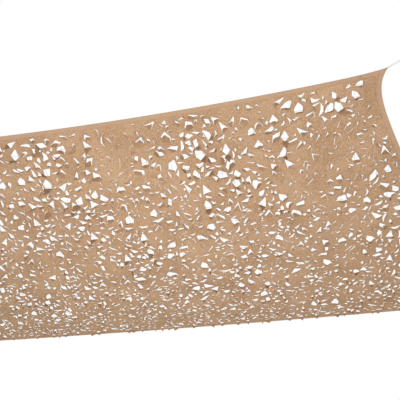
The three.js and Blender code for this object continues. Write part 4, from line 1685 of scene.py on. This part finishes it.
def stitch_tree():
    """Sets a stitch at even steps along each sewing line."""
    sockets = {"Stitch": "NodeSocketObject", "Pitch": "NodeSocketFloat", "Thread": "NodeSocketMaterial"}
    tree = new_tree("binding_stitches", sockets)
    given = add(tree, "NodeGroupInput").outputs
    lines = add(tree, "GeometryNodeMeshToCurve", {"Mesh": given["Geometry"]})
    pitch = {"Curve": lines.outputs[0], "Length": given["Pitch"]}
    stops = add(tree, "GeometryNodeCurveToPoints", pitch, mode="LENGTH").outputs
    turned = add(tree, "FunctionNodeAlignRotationToVector", {"Vector": stops["Tangent"]}, axis="X")
    stitch = add(tree, "GeometryNodeObjectInfo", {"Object": given["Stitch"]})
    sewn = add(tree, "GeometryNodeInstanceOnPoints", {
        "Points": stops[0],
        "Instance": stitch.outputs["Geometry"],
        "Rotation": turned.outputs[0],
    })
    smooth = add(tree, "GeometryNodeSetShadeSmooth", {"Geometry": sewn.outputs[0], "Shade Smooth": True})
    whole = add(tree, "GeometryNodeRealizeInstances", {"Geometry": smooth.outputs[0]})
    finish = {"Geometry": whole.outputs[0], "Material": given["Thread"]}
    finished = add(tree, "GeometryNodeSetMaterial", finish)
    add(tree, "NodeGroupOutput", {"Geometry": finished.outputs[0]})
    return tree


class SHADE_SAIL_OT_stitches(Operator):
    """Sew the bindings down on both faces"""

    bl_idname = "shade_sail.stitches"
    bl_label = "Stitches"

    def execute(self, context):
        strip = context.scene.edge_binding
        stitch = place_object("blank_stitch", blank_stitch(strip))
        given = {
            "Stitch": stitch,
            "Pitch": strip.stitch_pitch,
            "Thread": spun_thread("spun_sewing_thread", context.scene.sail_colours.thread),
        }
        stitches = run_tree("stitches", stitch_lines(context), stitch_tree(), given)
        bpy.data.objects.remove(stitch)
        finish_piece(stitches, [])
        return {"FINISHED"}


# Panel and registration

OPERATORS = (
    SHADE_SAIL_OT_stage,
    SHADE_SAIL_OT_ropes,
    SHADE_SAIL_OT_bindings,
    SHADE_SAIL_OT_stitches,
    SHADE_SAIL_OT_net,
)
GROUPS = {
    "sail_shape": SailShape,
    "leaf_cut": LeafCut,
    "edge_binding": EdgeBinding,
    "corner_rope": CornerRope,
    "sail_colours": SailColours,
}


class SHADE_SAIL_PT_build(Panel):
    """Lists the pieces of the shade sail in the order in which they are made"""

    bl_idname = "SHADE_SAIL_PT_build"
    bl_label = "Shade sail"
    bl_space_type = "VIEW_3D"
    bl_region_type = "UI"
    bl_category = "Shade sail"

    def draw(self, context):
        for operator in OPERATORS:
            self.layout.operator(operator.bl_idname)
        for name, group in GROUPS.items():
            box = self.layout.box()
            box.label(text=group.__doc__)
            for field in group.__annotations__:
                box.prop(getattr(context.scene, name), field)


def register():
    for group in GROUPS.values():
        bpy.utils.register_class(group)
    for operator in OPERATORS:
        bpy.utils.register_class(operator)
    bpy.utils.register_class(SHADE_SAIL_PT_build)
    for name, group in GROUPS.items():
        setattr(bpy.types.Scene, name, PointerProperty(type=group))


def unregister():
    for name in GROUPS:
        delattr(bpy.types.Scene, name)
    bpy.utils.unregister_class(SHADE_SAIL_PT_build)
    for operator in reversed(OPERATORS):
        bpy.utils.unregister_class(operator)
    for group in reversed(GROUPS.values()):
        bpy.utils.unregister_class(group)


def main():
    register()
    bpy.ops.shade_sail.stage()
    bpy.ops.shade_sail.ropes()
    bpy.ops.shade_sail.bindings()
    bpy.ops.shade_sail.stitches()
    bpy.ops.shade_sail.net()


if __name__ == "__main__":
    main()
